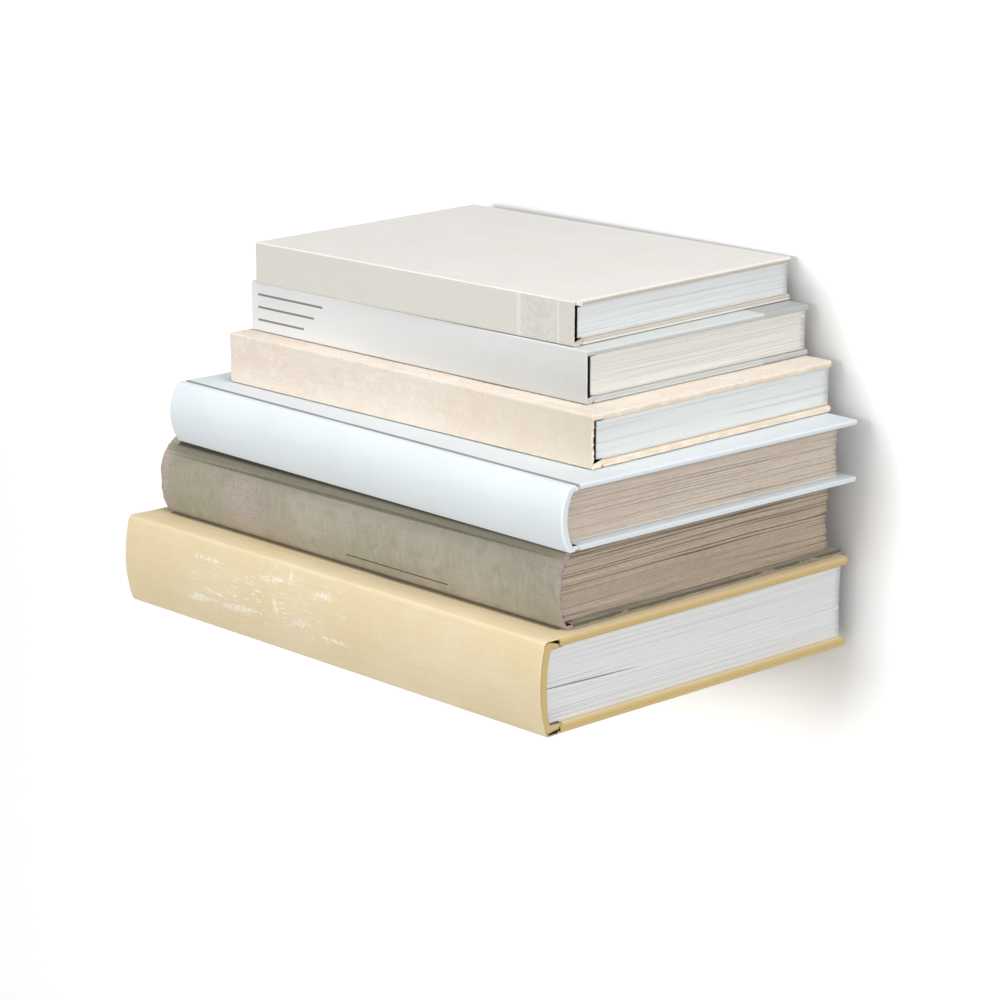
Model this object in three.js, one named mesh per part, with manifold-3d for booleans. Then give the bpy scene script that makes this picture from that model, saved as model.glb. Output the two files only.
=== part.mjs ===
// An invisible bookshelf: a folded steel bracket on the wall carries a stack of six hardcover books.
// The bracket's plate lies inside the bottom book, just above its back cover, and two hooks under
// the plate hold that cover shut.
// Millimetres. +X runs along the wall, -Y away from it and +Z up. The origin is on the wall, at the
// centre of the bracket's wall leg.

import * as THREE from 'three';
import { mergeVertices } from 'three/addons/utils/BufferGeometryUtils.js';
import Module from 'manifold-3d';

const wasm = await Module();
wasm.setup();

// Clearances
const gap = 0.3; // between pieces that rest on, slide in or are glued to each other
const cutOverrun = 1; // how far a cutter runs past the faces it cuts

// The bracket, one folded sheet
const sheetThickness = 2.5;
const bendRadius = 1.5; // inside radius of each bend
const bracketWidth = 180;
const legTop = 145; // upper edge of the wall leg above the underside of the bottom book
const plateReach = 168; // front edge of the shelf plate from the wall
const sheetCornerRadius = 10;
const hookWidth = 20;
const hookReach = 20; // tip of a hook from the wall
const hookSpacing = 90; // between the centres of the two hooks
const hookRelief = 1; // slit at each side of a hook
const hookRoot = 3; // how far a hook runs up into the leg above the bend

// Countersunk wood screws, one near each corner of the leg
const screwSideMargin = 25; // from the sides of the leg to the screws' axes
const upperScrewMargin = 27; // from the leg's upper edge to the upper pair
const lowerScrewMargin = 32.5; // from the shelf plate to the lower pair
const screwLength = 50;
const screwShankRadius = 2.2;
const screwHeadRadius = 4.2;
const screwHeadRim = 0.3; // straight edge of the head above its cone
const screwTipLength = 5;
const recessLength = 4.4; // of each arm pair of the cross recess
const recessWidth = 1;
const recessDepth = 1.5;

// Layers that all the books share
const pastedownThickness = 0.4;
const pastedownMargin = 2.5; // of board left bare between a pastedown and the joint
const liningThickness = 0.5;
const liningMargin = 3; // of the text block's back left bare round the lining
const jointThickness = 1; // of the flexible strip between a board and the spine
const boardCornerRadius = 1.5;
const boardEdgeRadius = 0.6;

// What the flat-backed books share
const flatSpineThickness = 1.6;
const flatSpineHollow = 1.9; // air between the spine and the lining of the leaves
const flatGrooveDepth = 0.4;

// The books from the bottom up. Each lies on its back cover with its fore-edge to the wall.
// Width: from the fore-edge of the boards to the outside of the spine
// EndSquare, ForeSquare: how far the boards stand out past the leaves, at the ends and the fore-edge
// ForeHollow: how deep the fore-edge of the leaves curves in
// FrontDrop, BackDrop: how far a rounded spine falls back at the front and the back cover
// Shoulder: width of the flat ends of a rounded spine
// SpineCorner: outside radius of the long edges of a flat spine
// Joint, Groove: width of a joint's strip, and its depth below the face of the cover
// EndX: right end of the book from the bracket's centre line
// StandOff: fore-edge at that end, from where it would touch the wall leg

// Book 1, at the bottom: large, with a rounded spine and deep joints
const book1Length = 303.2;
const book1Width = 209.1;
const book1Thickness = 45;
const book1Board = 4;
const book1EndSquare = 4;
const book1ForeSquare = 1.4;
const book1ForeHollow = 0.8;
const book1Spine = 5.6;
const book1Shoulder = 2.3;
const book1FrontDrop = 3.3;
const book1BackDrop = 4.3;
const book1Joint = 4.1;
const book1Groove = 2.8;
const book1EndX = 151.6;
const book1StandOff = 1.7;

// Book 2: thin boards, and a rounded spine that curls over onto the front cover
const book2Length = 290;
const book2Width = 192.9;
const book2Thickness = 39.1;
const book2Board = 2;
const book2EndSquare = 4;
const book2ForeSquare = 6.9;
const book2ForeHollow = 2;
const book2Spine = 1.2;
const book2Shoulder = 0.6;
const book2FrontDrop = 12;
const book2BackDrop = 5;
const book2Joint = 2;
const book2Groove = 0.6;
const book2EndX = 146.1;
const book2StandOff = 0;

// Book 3: a rounded spine, and boards that stand well out past the leaves
const book3Length = 285.6;
const book3Width = 195.3;
const book3Thickness = 30.5;
const book3Board = 2.5;
const book3EndSquare = 6.5;
const book3ForeSquare = 7;
const book3ForeHollow = 1.2;
const book3Spine = 3.4;
const book3Shoulder = 1.9;
const book3FrontDrop = 5.5;
const book3BackDrop = 5.1;
const book3Joint = 2.4;
const book3Groove = 1;
const book3EndX = 158.5;
const book3StandOff = 5.9;

// Book 4: a flat spine
const book4Length = 253.3;
const book4Width = 165.7;
const book4Thickness = 25;
const book4Board = 3;
const book4EndSquare = 2.2;
const book4ForeSquare = 0.9;
const book4SpineCorner = 1.2;
const book4Joint = 4.2;
const book4EndX = 139.3;
const book4StandOff = 2.8;

// Book 5: a flat spine
const book5Length = 233.9;
const book5Width = 154;
const book5Thickness = 24.8;
const book5Board = 2.6;
const book5EndSquare = 1.8;
const book5ForeSquare = 1.2;
const book5SpineCorner = 1.3;
const book5Joint = 2.5;
const book5EndX = 122.7;
const book5StandOff = 2.1;

// Book 6, on top: a flat spine
const book6Length = 216;
const book6Width = 154.1;
const book6Thickness = 21;
const book6Board = 2.6;
const book6EndSquare = 1.5;
const book6ForeSquare = 1.3;
const book6SpineCorner = 1;
const book6Joint = 1.6;
const book6EndX = 109.4;
const book6StandOff = 0.9;

// roundness: exponent of a rounded spine's curve, higher for a flatter middle and tighter shoulders
// turn: degrees about the vertical, swinging the left end away from the wall
const books = [
  {
    name: 'book_1', length: book1Length, width: book1Width, thickness: book1Thickness,
    boardThickness: book1Board, endSquare: book1EndSquare, foreSquare: book1ForeSquare,
    foreHollow: book1ForeHollow, spineThickness: book1Spine, shoulder: book1Shoulder,
    frontDrop: book1FrontDrop, backDrop: book1BackDrop, hollow: gap,
    jointWidth: book1Joint, grooveDepth: book1Groove,
    endX: book1EndX, standOff: book1StandOff,
    roundness: 2, turn: 0, cloth: '#e3d2a8', leaves: '#dadad9',
  },
  {
    name: 'book_2', length: book2Length, width: book2Width, thickness: book2Thickness,
    boardThickness: book2Board, endSquare: book2EndSquare, foreSquare: book2ForeSquare,
    foreHollow: book2ForeHollow, spineThickness: book2Spine, shoulder: book2Shoulder,
    frontDrop: book2FrontDrop, backDrop: book2BackDrop, hollow: gap,
    jointWidth: book2Joint, grooveDepth: book2Groove,
    endX: book2EndX, standOff: book2StandOff,
    roundness: 3, turn: 0, cloth: '#a8a494', leaves: '#b7a895',
  },
  {
    name: 'book_3', length: book3Length, width: book3Width, thickness: book3Thickness,
    boardThickness: book3Board, endSquare: book3EndSquare, foreSquare: book3ForeSquare,
    foreHollow: book3ForeHollow, spineThickness: book3Spine, shoulder: book3Shoulder,
    frontDrop: book3FrontDrop, backDrop: book3BackDrop, hollow: gap,
    jointWidth: book3Joint, grooveDepth: book3Groove,
    endX: book3EndX, standOff: book3StandOff,
    roundness: 2.2, turn: -0.98, cloth: '#e6ebee', leaves: '#c2b4a7',
  },
  {
    name: 'book_4', length: book4Length, width: book4Width, thickness: book4Thickness,
    boardThickness: book4Board, endSquare: book4EndSquare, foreSquare: book4ForeSquare,
    foreHollow: 0, spineThickness: flatSpineThickness, spineCorner: book4SpineCorner,
    hollow: flatSpineHollow, jointWidth: book4Joint, grooveDepth: flatGrooveDepth,
    endX: book4EndX, standOff: book4StandOff,
    turn: 0.8, cloth: '#f0e4d6', leaves: '#e0e2e1',
  },
  {
    name: 'book_5', length: book5Length, width: book5Width, thickness: book5Thickness,
    boardThickness: book5Board, endSquare: book5EndSquare, foreSquare: book5ForeSquare,
    foreHollow: 0, spineThickness: flatSpineThickness, spineCorner: book5SpineCorner,
    hollow: flatSpineHollow, jointWidth: book5Joint, grooveDepth: flatGrooveDepth,
    endX: book5EndX, standOff: book5StandOff,
    turn: 0.88, cloth: '#dde0e0', leaves: '#e0e1dc',
  },
  {
    name: 'book_6', length: book6Length, width: book6Width, thickness: book6Thickness,
    boardThickness: book6Board, endSquare: book6EndSquare, foreSquare: book6ForeSquare,
    foreHollow: 0, spineThickness: flatSpineThickness, spineCorner: book6SpineCorner,
    hollow: flatSpineHollow, jointWidth: book6Joint, grooveDepth: flatGrooveDepth,
    endX: book6EndX, standOff: book6StandOff,
    turn: 2.32, cloth: '#e2dfd9', leaves: '#e1e2e3',
  },
];

// Heights above the underside of the bottom book, and the bracket's folds
const bottomBook = books[0];
const pastedownLayer = gap + pastedownThickness + gap;
const plateBottom = bottomBook.boardThickness + pastedownLayer;
const plateTop = plateBottom + sheetThickness;
const outerBendRadius = bendRadius + sheetThickness;
const hookTop = -gap;
const hookBottom = hookTop - sheetThickness;
const originHeight = (plateBottom + legTop) / 2;
const foreEdgeFromWall = sheetThickness + gap;

// Facets of round shapes
const curveSteps = 16;
const arcSteps = 4;
const turnedSegments = 24;

const steel = new THREE.MeshStandardMaterial({ color: '#f1f1ef', roughness: 0.55, metalness: 0.1 });
const zinc = new THREE.MeshStandardMaterial({ color: '#b9bcc0', roughness: 0.35, metalness: 1 });
const endpaper = new THREE.MeshStandardMaterial({ color: '#ece8df', roughness: 0.9, metalness: 0 });
const gauze = new THREE.MeshStandardMaterial({ color: '#d8d0bf', roughness: 0.95, metalness: 0 });

// Outlines of sections are drawn in (distance from the wall or fore-edge, height) and run along -X.
const sectionBasis = new THREE.Matrix4().makeBasis(
  new THREE.Vector3(0, -1, 0),
  new THREE.Vector3(0, 0, 1),
  new THREE.Vector3(-1, 0, 0),
);

function extrude(shape, depth, bevel = {}) {
  return new THREE.ExtrudeGeometry(shape, { depth, bevelEnabled: false, curveSegments: arcSteps, ...bevel });
}

function alongX(shape, rightX, length) {
  return extrude(shape, length).applyMatrix4(sectionBasis).translate(rightX, 0, 0);
}

function polygon(points) {
  return new THREE.Shape(points.map(([x, y]) => new THREE.Vector2(x, y)));
}

function solid(geometry) {
  const bare = geometry.clone();
  bare.deleteAttribute('normal');
  bare.deleteAttribute('uv');
  const merged = mergeVertices(bare);
  return new wasm.Manifold(new wasm.Mesh({
    numProp: 3,
    vertProperties: new Float32Array(merged.attributes.position.array),
    triVerts: new Uint32Array(merged.index.array),
  }));
}

function geometryOf(manifold) {
  const mesh = manifold.getMesh();
  const geometry = new THREE.BufferGeometry();
  geometry.setAttribute('position', new THREE.BufferAttribute(mesh.vertProperties, 3));
  geometry.setIndex(new THREE.BufferAttribute(mesh.triVerts, 1));
  const faceted = geometry.toNonIndexed();
  faceted.computeVertexNormals();
  return faceted;
}

function box(x0, x1, y0, y1, z0, z1) {
  return new THREE.BoxGeometry(x1 - x0, y1 - y0, z1 - z0)
    .translate((x0 + x1) / 2, (y0 + y1) / 2, (z0 + z1) / 2);
}

// The places of the screws on the wall leg, with the name of each.
const screwX = bracketWidth / 2 - screwSideMargin;
const upperScrewHeight = legTop - upperScrewMargin;
const lowerScrewHeight = plateTop + lowerScrewMargin;
const screwPlaces = [
  ['lower_left', -screwX, lowerScrewHeight],
  ['lower_right', screwX, lowerScrewHeight],
  ['upper_left', -screwX, upperScrewHeight],
  ['upper_right', screwX, upperScrewHeight],
];

function addMesh(group, name, geometry, material) {
  const mesh = new THREE.Mesh(geometry, material);
  mesh.name = name;
  group.add(mesh);
}

// The wall leg and the shelf plate, folded from one sheet.
function foldedSheet() {
  const section = new THREE.Shape();
  section.moveTo(0, legTop);
  section.lineTo(0, plateBottom + outerBendRadius);
  section.absarc(outerBendRadius, plateBottom + outerBendRadius, outerBendRadius, Math.PI, 1.5 * Math.PI);
  section.lineTo(plateReach, plateBottom);
  section.lineTo(plateReach, plateTop);
  section.lineTo(outerBendRadius, plateTop);
  section.absarc(outerBendRadius, plateTop + bendRadius, bendRadius, 1.5 * Math.PI, Math.PI, true);
  section.lineTo(sheetThickness, legTop);
  return solid(alongX(section, bracketWidth / 2, bracketWidth));
}

// A blank with two rounded corners at its far end, as wide as the bracket, drawn in (x, reach).
function blankOutline(start, reach) {
  const half = bracketWidth / 2;
  const shape = new THREE.Shape();
  shape.moveTo(-half, start);
  shape.lineTo(half, start);
  shape.absarc(half - sheetCornerRadius, reach - sheetCornerRadius, sheetCornerRadius, 0, Math.PI / 2);
  shape.absarc(sheetCornerRadius - half, reach - sheetCornerRadius, sheetCornerRadius, Math.PI / 2, Math.PI);
  return shape;
}

// What the plate's plan and the leg's front view leave of the sheet once its corners are rounded.
function roundedCorners() {
  const plan = extrude(blankOutline(-cutOverrun, plateReach), legTop + cutOverrun)
    .rotateX(Math.PI).translate(0, 0, legTop + cutOverrun);
  const front = extrude(blankOutline(0, legTop), plateReach + cutOverrun)
    .rotateX(Math.PI / 2).translate(0, cutOverrun / 2, 0);
  return solid(plan).intersect(solid(front));
}

// A hook: straight down from the leg, then forward under the back cover.
function hook(centreX) {
  const rootTop = plateTop + bendRadius + hookRoot;
  const section = new THREE.Shape();
  section.moveTo(0, rootTop);
  section.lineTo(0, hookBottom + outerBendRadius);
  section.absarc(outerBendRadius, hookBottom + outerBendRadius, outerBendRadius, Math.PI, 1.5 * Math.PI);
  section.lineTo(hookReach, hookBottom);
  section.lineTo(hookReach, hookTop);
  section.lineTo(outerBendRadius, hookTop);
  section.absarc(outerBendRadius, hookTop + bendRadius, bendRadius, 1.5 * Math.PI, Math.PI, true);
  section.lineTo(sheetThickness, rootTop);
  return solid(alongX(section, centreX + hookWidth / 2, hookWidth));
}

// The slot that a hook leaves in the plate, as long as the hook and its drop laid flat.
function hookSlot(centreX) {
  const half = hookWidth / 2 + hookRelief;
  const slotEnd = hookReach + plateTop - hookBottom;
  return solid(box(
    centreX - half, centreX + half, -slotEnd, cutOverrun,
    plateBottom - cutOverrun, plateTop + bendRadius,
  ));
}

// Profile of a screw head from its flat face down to the shank, grown by a clearance.
function headProfile(clearance) {
  const coneEnd = screwHeadRim + screwHeadRadius - screwShankRadius;
  return [
    [screwHeadRadius + clearance, 0],
    [screwHeadRadius + clearance, screwHeadRim],
    [screwShankRadius + clearance, coneEnd],
  ];
}

// Lathes a profile of (radius, depth), with the depth running into the wall from the leg's front face.
function turned(profile) {
  const points = profile.map(([radius, depth]) => new THREE.Vector2(radius, depth - sheetThickness));
  return new THREE.LatheGeometry(points, turnedSegments);
}

function screwHole() {
  const clearance = gap / 2;
  const bore = screwShankRadius + clearance;
  return turned([
    [0, -cutOverrun], [screwHeadRadius + clearance, -cutOverrun],
    ...headProfile(clearance),
    [bore, sheetThickness + cutOverrun], [0, sheetThickness + cutOverrun],
  ]);
}

function bracket() {
  let body = foldedSheet().intersect(roundedCorners());
  for (const x of [-hookSpacing / 2, hookSpacing / 2]) {
    body = body.subtract(hookSlot(x)).add(hook(x));
  }
  for (const [, x, z] of screwPlaces) body = body.subtract(solid(screwHole().translate(x, 0, z)));
  return geometryOf(body);
}

function screw() {
  const blank = solid(turned([
    [0, 0], ...headProfile(0),
    [screwShankRadius, screwLength - screwTipLength], [0, screwLength],
  ]));
  const face = -sheetThickness;
  const arm = recessLength / 2;
  const half = recessWidth / 2;
  const across = solid(box(-arm, arm, face - cutOverrun, face + recessDepth, -half, half));
  const upright = solid(box(-half, half, face - cutOverrun, face + recessDepth, -arm, arm));
  return geometryOf(blank.subtract(across.add(upright)));
}

// Position across a book of the outside of a rounded spine, at a height between 0 and the thickness.
function roundedBack(book, height) {
  const middle = book.thickness / 2;
  const share = (height - middle) / middle;
  const drop = share > 0 ? book.frontDrop : book.backDrop;
  return book.width - drop * Math.abs(share) ** book.roundness;
}

const isRounded = (book) => book.roundness !== undefined;

// Position of the inside of the spine.
function spineInside(book, height) {
  return (isRounded(book) ? roundedBack(book, height) : book.width) - book.spineThickness;
}

// Position of the back of the leaves, which lies under the lining and the hollow.
function leavesBack(book, height) {
  return spineInside(book, height) - book.hollow - liningThickness - gap;
}

// The two faces that a joint can open at, as their height and the direction into the book.
const frontFace = (book) => ({ height: book.thickness, inward: -1 });
const backFace = () => ({ height: 0, inward: 1 });

// Height of the inner side of a joint's strip.
function jointUnderside(book, face) {
  return face.height + face.inward * (book.grooveDepth + jointThickness);
}

// Position of the edge of a joint next to the spine.
function jointEnd(book, face) {
  const inside = spineInside(book, jointUnderside(book, face));
  return (isRounded(book) ? Math.min(inside, shoulderEdge(book, face)) : inside) - gap;
}

// Position of the inner edge of a rounded spine's flat end.
function shoulderEdge(book, face) {
  return roundedBack(book, face.height) - book.shoulder;
}

// Position of the edge of a board next to a joint.
function boardEnd(book, face) {
  return jointEnd(book, face) - book.jointWidth - gap;
}

// Points of a curve between two heights, for the shapes that follow the spine.
function curvePoints(position, bottom, top) {
  const points = [];
  for (let i = 0; i <= curveSteps; i += 1) {
    const height = bottom + (top - bottom) * i / curveSteps;
    points.push([position(height), height]);
  }
  return points;
}

// A cover's board, flat, with softened edges and small round corners at the fore-edge.
function board(book, bottom, end) {
  const radius = boardCornerRadius;
  const shape = new THREE.Shape();
  shape.moveTo(0, -end);
  shape.lineTo(0, -radius);
  shape.absarc(-radius, -radius, radius, 0, Math.PI / 2);
  shape.lineTo(radius - book.length, 0);
  shape.absarc(radius - book.length, -radius, radius, Math.PI / 2, Math.PI);
  shape.lineTo(-book.length, -end);
  const softened = {
    bevelEnabled: true,
    bevelThickness: boardEdgeRadius,
    bevelSize: boardEdgeRadius,
    bevelOffset: -boardEdgeRadius,
    bevelSegments: 3,
  };
  return extrude(shape, book.boardThickness - 2 * boardEdgeRadius, softened)
    .translate(0, 0, bottom + boardEdgeRadius);
}

// A rounded spine: a curved shell whose ends bevel down to the joints from flat shoulders.
function roundedSpine(book) {
  const front = frontFace(book);
  const back = backFace();
  const outside = curvePoints((height) => roundedBack(book, height), 0, book.thickness);
  const inside = curvePoints(
    (height) => spineInside(book, height),
    jointUnderside(book, back), jointUnderside(book, front),
  );
  return polygon([
    ...outside, [shoulderEdge(book, front), front.height],
    ...inside.reverse(), [shoulderEdge(book, back), back.height],
  ]);
}

function flatSpine(book) {
  const outside = book.width - book.spineCorner;
  const top = book.thickness;
  const shape = new THREE.Shape();
  shape.moveTo(spineInside(book, 0), 0);
  shape.absarc(outside, book.spineCorner, book.spineCorner, 1.5 * Math.PI, 2 * Math.PI);
  shape.absarc(outside, top - book.spineCorner, book.spineCorner, 0, Math.PI / 2);
  shape.lineTo(spineInside(book, top), top);
  return shape;
}

// The strip of covering between a board and the spine, at the bottom of the joint's groove.
function jointStrip(book, face) {
  const end = jointEnd(book, face);
  const outer = face.height + face.inward * book.grooveDepth;
  const inner = jointUnderside(book, face);
  return box(-book.length, 0, -end, book.jointWidth - end, Math.min(outer, inner), Math.max(outer, inner));
}

// The leaves, with a back that follows the spine and a fore-edge that curves in.
function leavesOutline(book, bottom, top) {
  const middle = (bottom + top) / 2;
  const foreEdge = (height) => {
    const share = (height - middle) / (top - middle);
    return book.foreSquare + book.foreHollow * (1 - share ** 2);
  };
  const back = curvePoints((height) => leavesBack(book, height), bottom, top);
  return polygon([...back, ...curvePoints(foreEdge, bottom, top).reverse()]);
}

// The gauze and paper glued over the back of the leaves.
function liningOutline(book, bottom, top) {
  const near = (height) => leavesBack(book, height) + gap;
  const inside = curvePoints(near, bottom + liningMargin, top - liningMargin);
  const outside = inside.map(([across, height]) => [across + liningThickness, height]);
  return polygon([...outside, ...inside.reverse()]);
}

// An endpaper glued inside a board, trimmed with the leaves.
function pastedown(book, bottom, end) {
  return box(
    book.endSquare - book.length, -book.endSquare,
    pastedownMargin - end, -book.foreSquare,
    bottom, bottom + pastedownThickness,
  );
}

// The pocket in the bottom book's leaves that the shelf plate slides into.
function platePocket(book) {
  const side = bracketWidth / 2 + gap;
  const depth = plateReach - foreEdgeFromWall - book.standOff + gap;
  return solid(box(
    -book.endX - side, -book.endX + side, -depth, cutOverrun,
    plateBottom - cutOverrun, plateTop + gap,
  ));
}

function leavesOf(book, bottom, top) {
  const length = book.length - 2 * book.endSquare;
  const block = alongX(leavesOutline(book, bottom, top), -book.endSquare, length);
  return book === bottomBook ? geometryOf(solid(block).subtract(platePocket(book))) : block;
}

function makeBook(book, restHeight) {
  const group = new THREE.Group();
  group.position.set(book.endX, -foreEdgeFromWall - book.standOff, restHeight);
  group.rotation.z = THREE.MathUtils.degToRad(book.turn);

  const cloth = new THREE.MeshStandardMaterial({ color: book.cloth, roughness: 0.85, metalness: 0 });
  const paper = new THREE.MeshStandardMaterial({ color: book.leaves, roughness: 0.95, metalness: 0 });
  const front = frontFace(book);
  const back = backFace();
  const frontBoardBottom = book.thickness - book.boardThickness;
  const frontPastedownBottom = frontBoardBottom - gap - pastedownThickness;
  const leavesBottom = book.boardThickness + pastedownLayer;
  const leavesTop = frontBoardBottom - pastedownLayer;
  const liningInset = liningMargin + book.endSquare;

  const add = (piece, geometry, material) => addMesh(group, `${book.name}_${piece}`, geometry, material);
  add('front_cover', board(book, frontBoardBottom, boardEnd(book, front)), cloth);
  add('back_cover', board(book, 0, boardEnd(book, back)), cloth);
  add('spine', alongX(isRounded(book) ? roundedSpine(book) : flatSpine(book), 0, book.length), cloth);
  add('front_joint', jointStrip(book, front), cloth);
  add('back_joint', jointStrip(book, back), cloth);
  add('text_block', leavesOf(book, leavesBottom, leavesTop), paper);
  add('spine_lining', alongX(
    liningOutline(book, leavesBottom, leavesTop), -liningInset, book.length - 2 * liningInset,
  ), gauze);
  add('front_pastedown', pastedown(book, frontPastedownBottom, boardEnd(book, front)), endpaper);
  add('back_pastedown', pastedown(book, book.boardThickness + gap, boardEnd(book, back)), endpaper);
  return group;
}

const shelf = new THREE.Group();
shelf.position.z = -originHeight;
addMesh(shelf, 'shelf_bracket', bracket(), steel);
for (const [place, x, z] of screwPlaces) {
  addMesh(shelf, `${place}_screw`, screw().translate(x, 0, z), zinc);
}

let restHeight = 0;
for (const book of books) {
  shelf.add(makeBook(book, restHeight));
  restHeight += book.thickness + gap;
}

const bookshelf = new THREE.Group();
bookshelf.add(shelf);

export default bookshelf;
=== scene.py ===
# %% [markdown]
# An invisible bookshelf is a folded steel bracket on a wall, hidden in the lowest of a stack of books.
# The imported model gives every board, spine, block of leaves and screw at its real size and place. This
# lesson dresses it: woven and paper covers with worn edges, leaves that can be told apart, and steel.
# The size and place of each piece are measured from that model. Only the marks of wear and print, and the
# shade painted on some covers, are placed one by one, in millimetres on the piece that carries them.

import math

import bpy
import numpy as np
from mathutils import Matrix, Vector


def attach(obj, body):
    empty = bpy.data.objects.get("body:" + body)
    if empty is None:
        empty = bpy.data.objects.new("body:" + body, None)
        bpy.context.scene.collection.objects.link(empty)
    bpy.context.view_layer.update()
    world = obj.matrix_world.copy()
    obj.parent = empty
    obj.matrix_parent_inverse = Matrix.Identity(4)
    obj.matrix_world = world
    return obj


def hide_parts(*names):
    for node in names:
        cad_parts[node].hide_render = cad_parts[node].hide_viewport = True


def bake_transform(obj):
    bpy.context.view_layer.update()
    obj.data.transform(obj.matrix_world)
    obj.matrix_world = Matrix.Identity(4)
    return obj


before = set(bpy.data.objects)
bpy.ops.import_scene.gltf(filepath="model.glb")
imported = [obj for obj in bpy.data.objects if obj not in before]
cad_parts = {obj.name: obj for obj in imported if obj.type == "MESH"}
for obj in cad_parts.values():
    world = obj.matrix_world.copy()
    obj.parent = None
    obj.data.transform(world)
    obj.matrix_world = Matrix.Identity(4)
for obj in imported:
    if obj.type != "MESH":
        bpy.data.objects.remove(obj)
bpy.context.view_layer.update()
MM = 0.001
print("CAD nodes:", len(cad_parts))

# %% [markdown]
# The camera stands in front and to the right of the stack, a little above it, with a long lens that
# keeps the edges of the books nearly parallel. Its place comes from the corners of the six books, solved
# together for the picture of 1000 by 1000 pixels.

# %% Camera
PICTURE_SIDE = 1000
FOCAL_PIXELS = 3348.1
SENSOR_WIDTH = 36.0
CAMERA_AZIMUTH = math.radians(46.582)
CAMERA_ELEVATION = math.radians(14.744)
CAMERA_DISTANCE = 1682.8 * MM
CAMERA_TARGET = Vector((-10.53, -84.5, -18.11)) * MM


def direction(azimuth, elevation):
    """Unit vector from the target to a point seen at these angles: azimuth 0 is -Y and turns towards +X."""
    level = math.cos(elevation)
    return Vector((math.sin(azimuth) * level, -math.cos(azimuth) * level, math.sin(elevation)))


def aim(thing, place, target):
    """Puts a camera or a lamp at a place, looking at a target with its top up."""
    thing.location = place
    thing.rotation_mode = "QUATERNION"
    thing.rotation_quaternion = (target - place).to_track_quat("-Z", "Y")


camera_data = bpy.data.cameras.new("camera")
camera_data.sensor_width = SENSOR_WIDTH
camera_data.lens = FOCAL_PIXELS * SENSOR_WIDTH / PICTURE_SIDE
camera = bpy.data.objects.new("camera", camera_data)
bpy.context.scene.collection.objects.link(camera)
bpy.context.scene.camera = camera
aim(camera, CAMERA_TARGET + direction(CAMERA_AZIMUTH, CAMERA_ELEVATION) * CAMERA_DISTANCE, CAMERA_TARGET)
print("lens in mm:", round(camera_data.lens, 2))

# %% [markdown]
# Materials are trees of shader nodes. One helper adds a node, sets its values and links what feeds it,
# so that each material below reads as a list of steps. Colours are written as sRGB hex values, as a
# picture shows them, and turned to the linear values that a renderer works in.

# %% Node and colour helpers
def linear(hex_colour):
    """Linear RGBA of an sRGB hex colour: each channel c becomes c/12.92, or ((c+0.055)/1.055)^2.4."""
    digits = hex_colour.lstrip("#")
    channels = np.array([int(digits[i : i + 2], 16) for i in (0, 2, 4)]) / 255
    curved = ((channels + 0.055) / 1.055) ** 2.4
    return (*np.where(channels <= 0.04045, channels / 12.92, curved).tolist(), 1.0)


def add_node(tree, kind, settings=None, inputs=None):
    """Adds a node. settings are its properties. inputs maps a socket to a value, or to a socket to link."""
    node = tree.nodes.new(kind)
    for name, value in (settings or {}).items():
        setattr(node, name, value)
    for name, value in (inputs or {}).items():
        if isinstance(value, bpy.types.NodeSocket):
            tree.links.new(value, node.inputs[name])
        else:
            node.inputs[name].default_value = value
    return node


def new_material(name):
    """A material with an empty node tree and its output node, returned as (material, tree, output)."""
    material = bpy.data.materials.new(name)
    material.use_nodes = True
    material.node_tree.nodes.clear()
    output = material.node_tree.nodes.new("ShaderNodeOutputMaterial")
    return material, material.node_tree, output


# %% [markdown]
# The stage is a white wall that the bracket hangs on, and a pale floor far below it. The wall is seen
# through from behind, so that the back of the stack can be looked at. Rays that show the surroundings,
# from the camera, off a glossy face or through glass, see it a little brighter than it is lit, which
# keeps it white. They also see it darker close to the books, where these take away the glow of the room.

# %% Stage
STAGE_SIDE = 8.0
WALL_BEHIND = 0.3 * MM
FLOOR_BELOW = 1.1
PAINT = (0.86, 0.86, 0.86, 1)
WHITE = (1, 1, 1, 1)
WALL_GLOW = 1.26
CORNER_REACH = 0.05  # how far from the books the wall darkens
CORNER_SHARE = 0.62  # how much of that shade is kept
CORNER_FADE = (0.125, 0.095)  # heights between which the shade comes in, from the upper one down
CORNER_SAMPLES = 24


def stage_plane(name, corners, material):
    """A single face through four corners, given anticlockwise as seen from its front."""
    mesh = bpy.data.meshes.new(name)
    mesh.from_pydata(corners, [], [(0, 1, 2, 3)])
    mesh.materials.append(material)
    plane = bpy.data.objects.new(name, mesh)
    bpy.context.scene.collection.objects.link(plane)
    return plane


def background_rays(tree):
    """1 for a ray that shows the surroundings: from the camera, off a glossy face or through glass."""
    path = add_node(tree, "ShaderNodeLightPath")
    shown = {0: path.outputs["Is Camera Ray"], 1: path.outputs["Is Glossy Ray"]}
    shown = add_node(tree, "ShaderNodeMath", {"operation": "MAXIMUM"}, shown)
    shown = {0: shown.outputs[0], 1: path.outputs["Is Transmission Ray"]}
    return add_node(tree, "ShaderNodeMath", {"operation": "MAXIMUM"}, shown).outputs[0]


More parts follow.
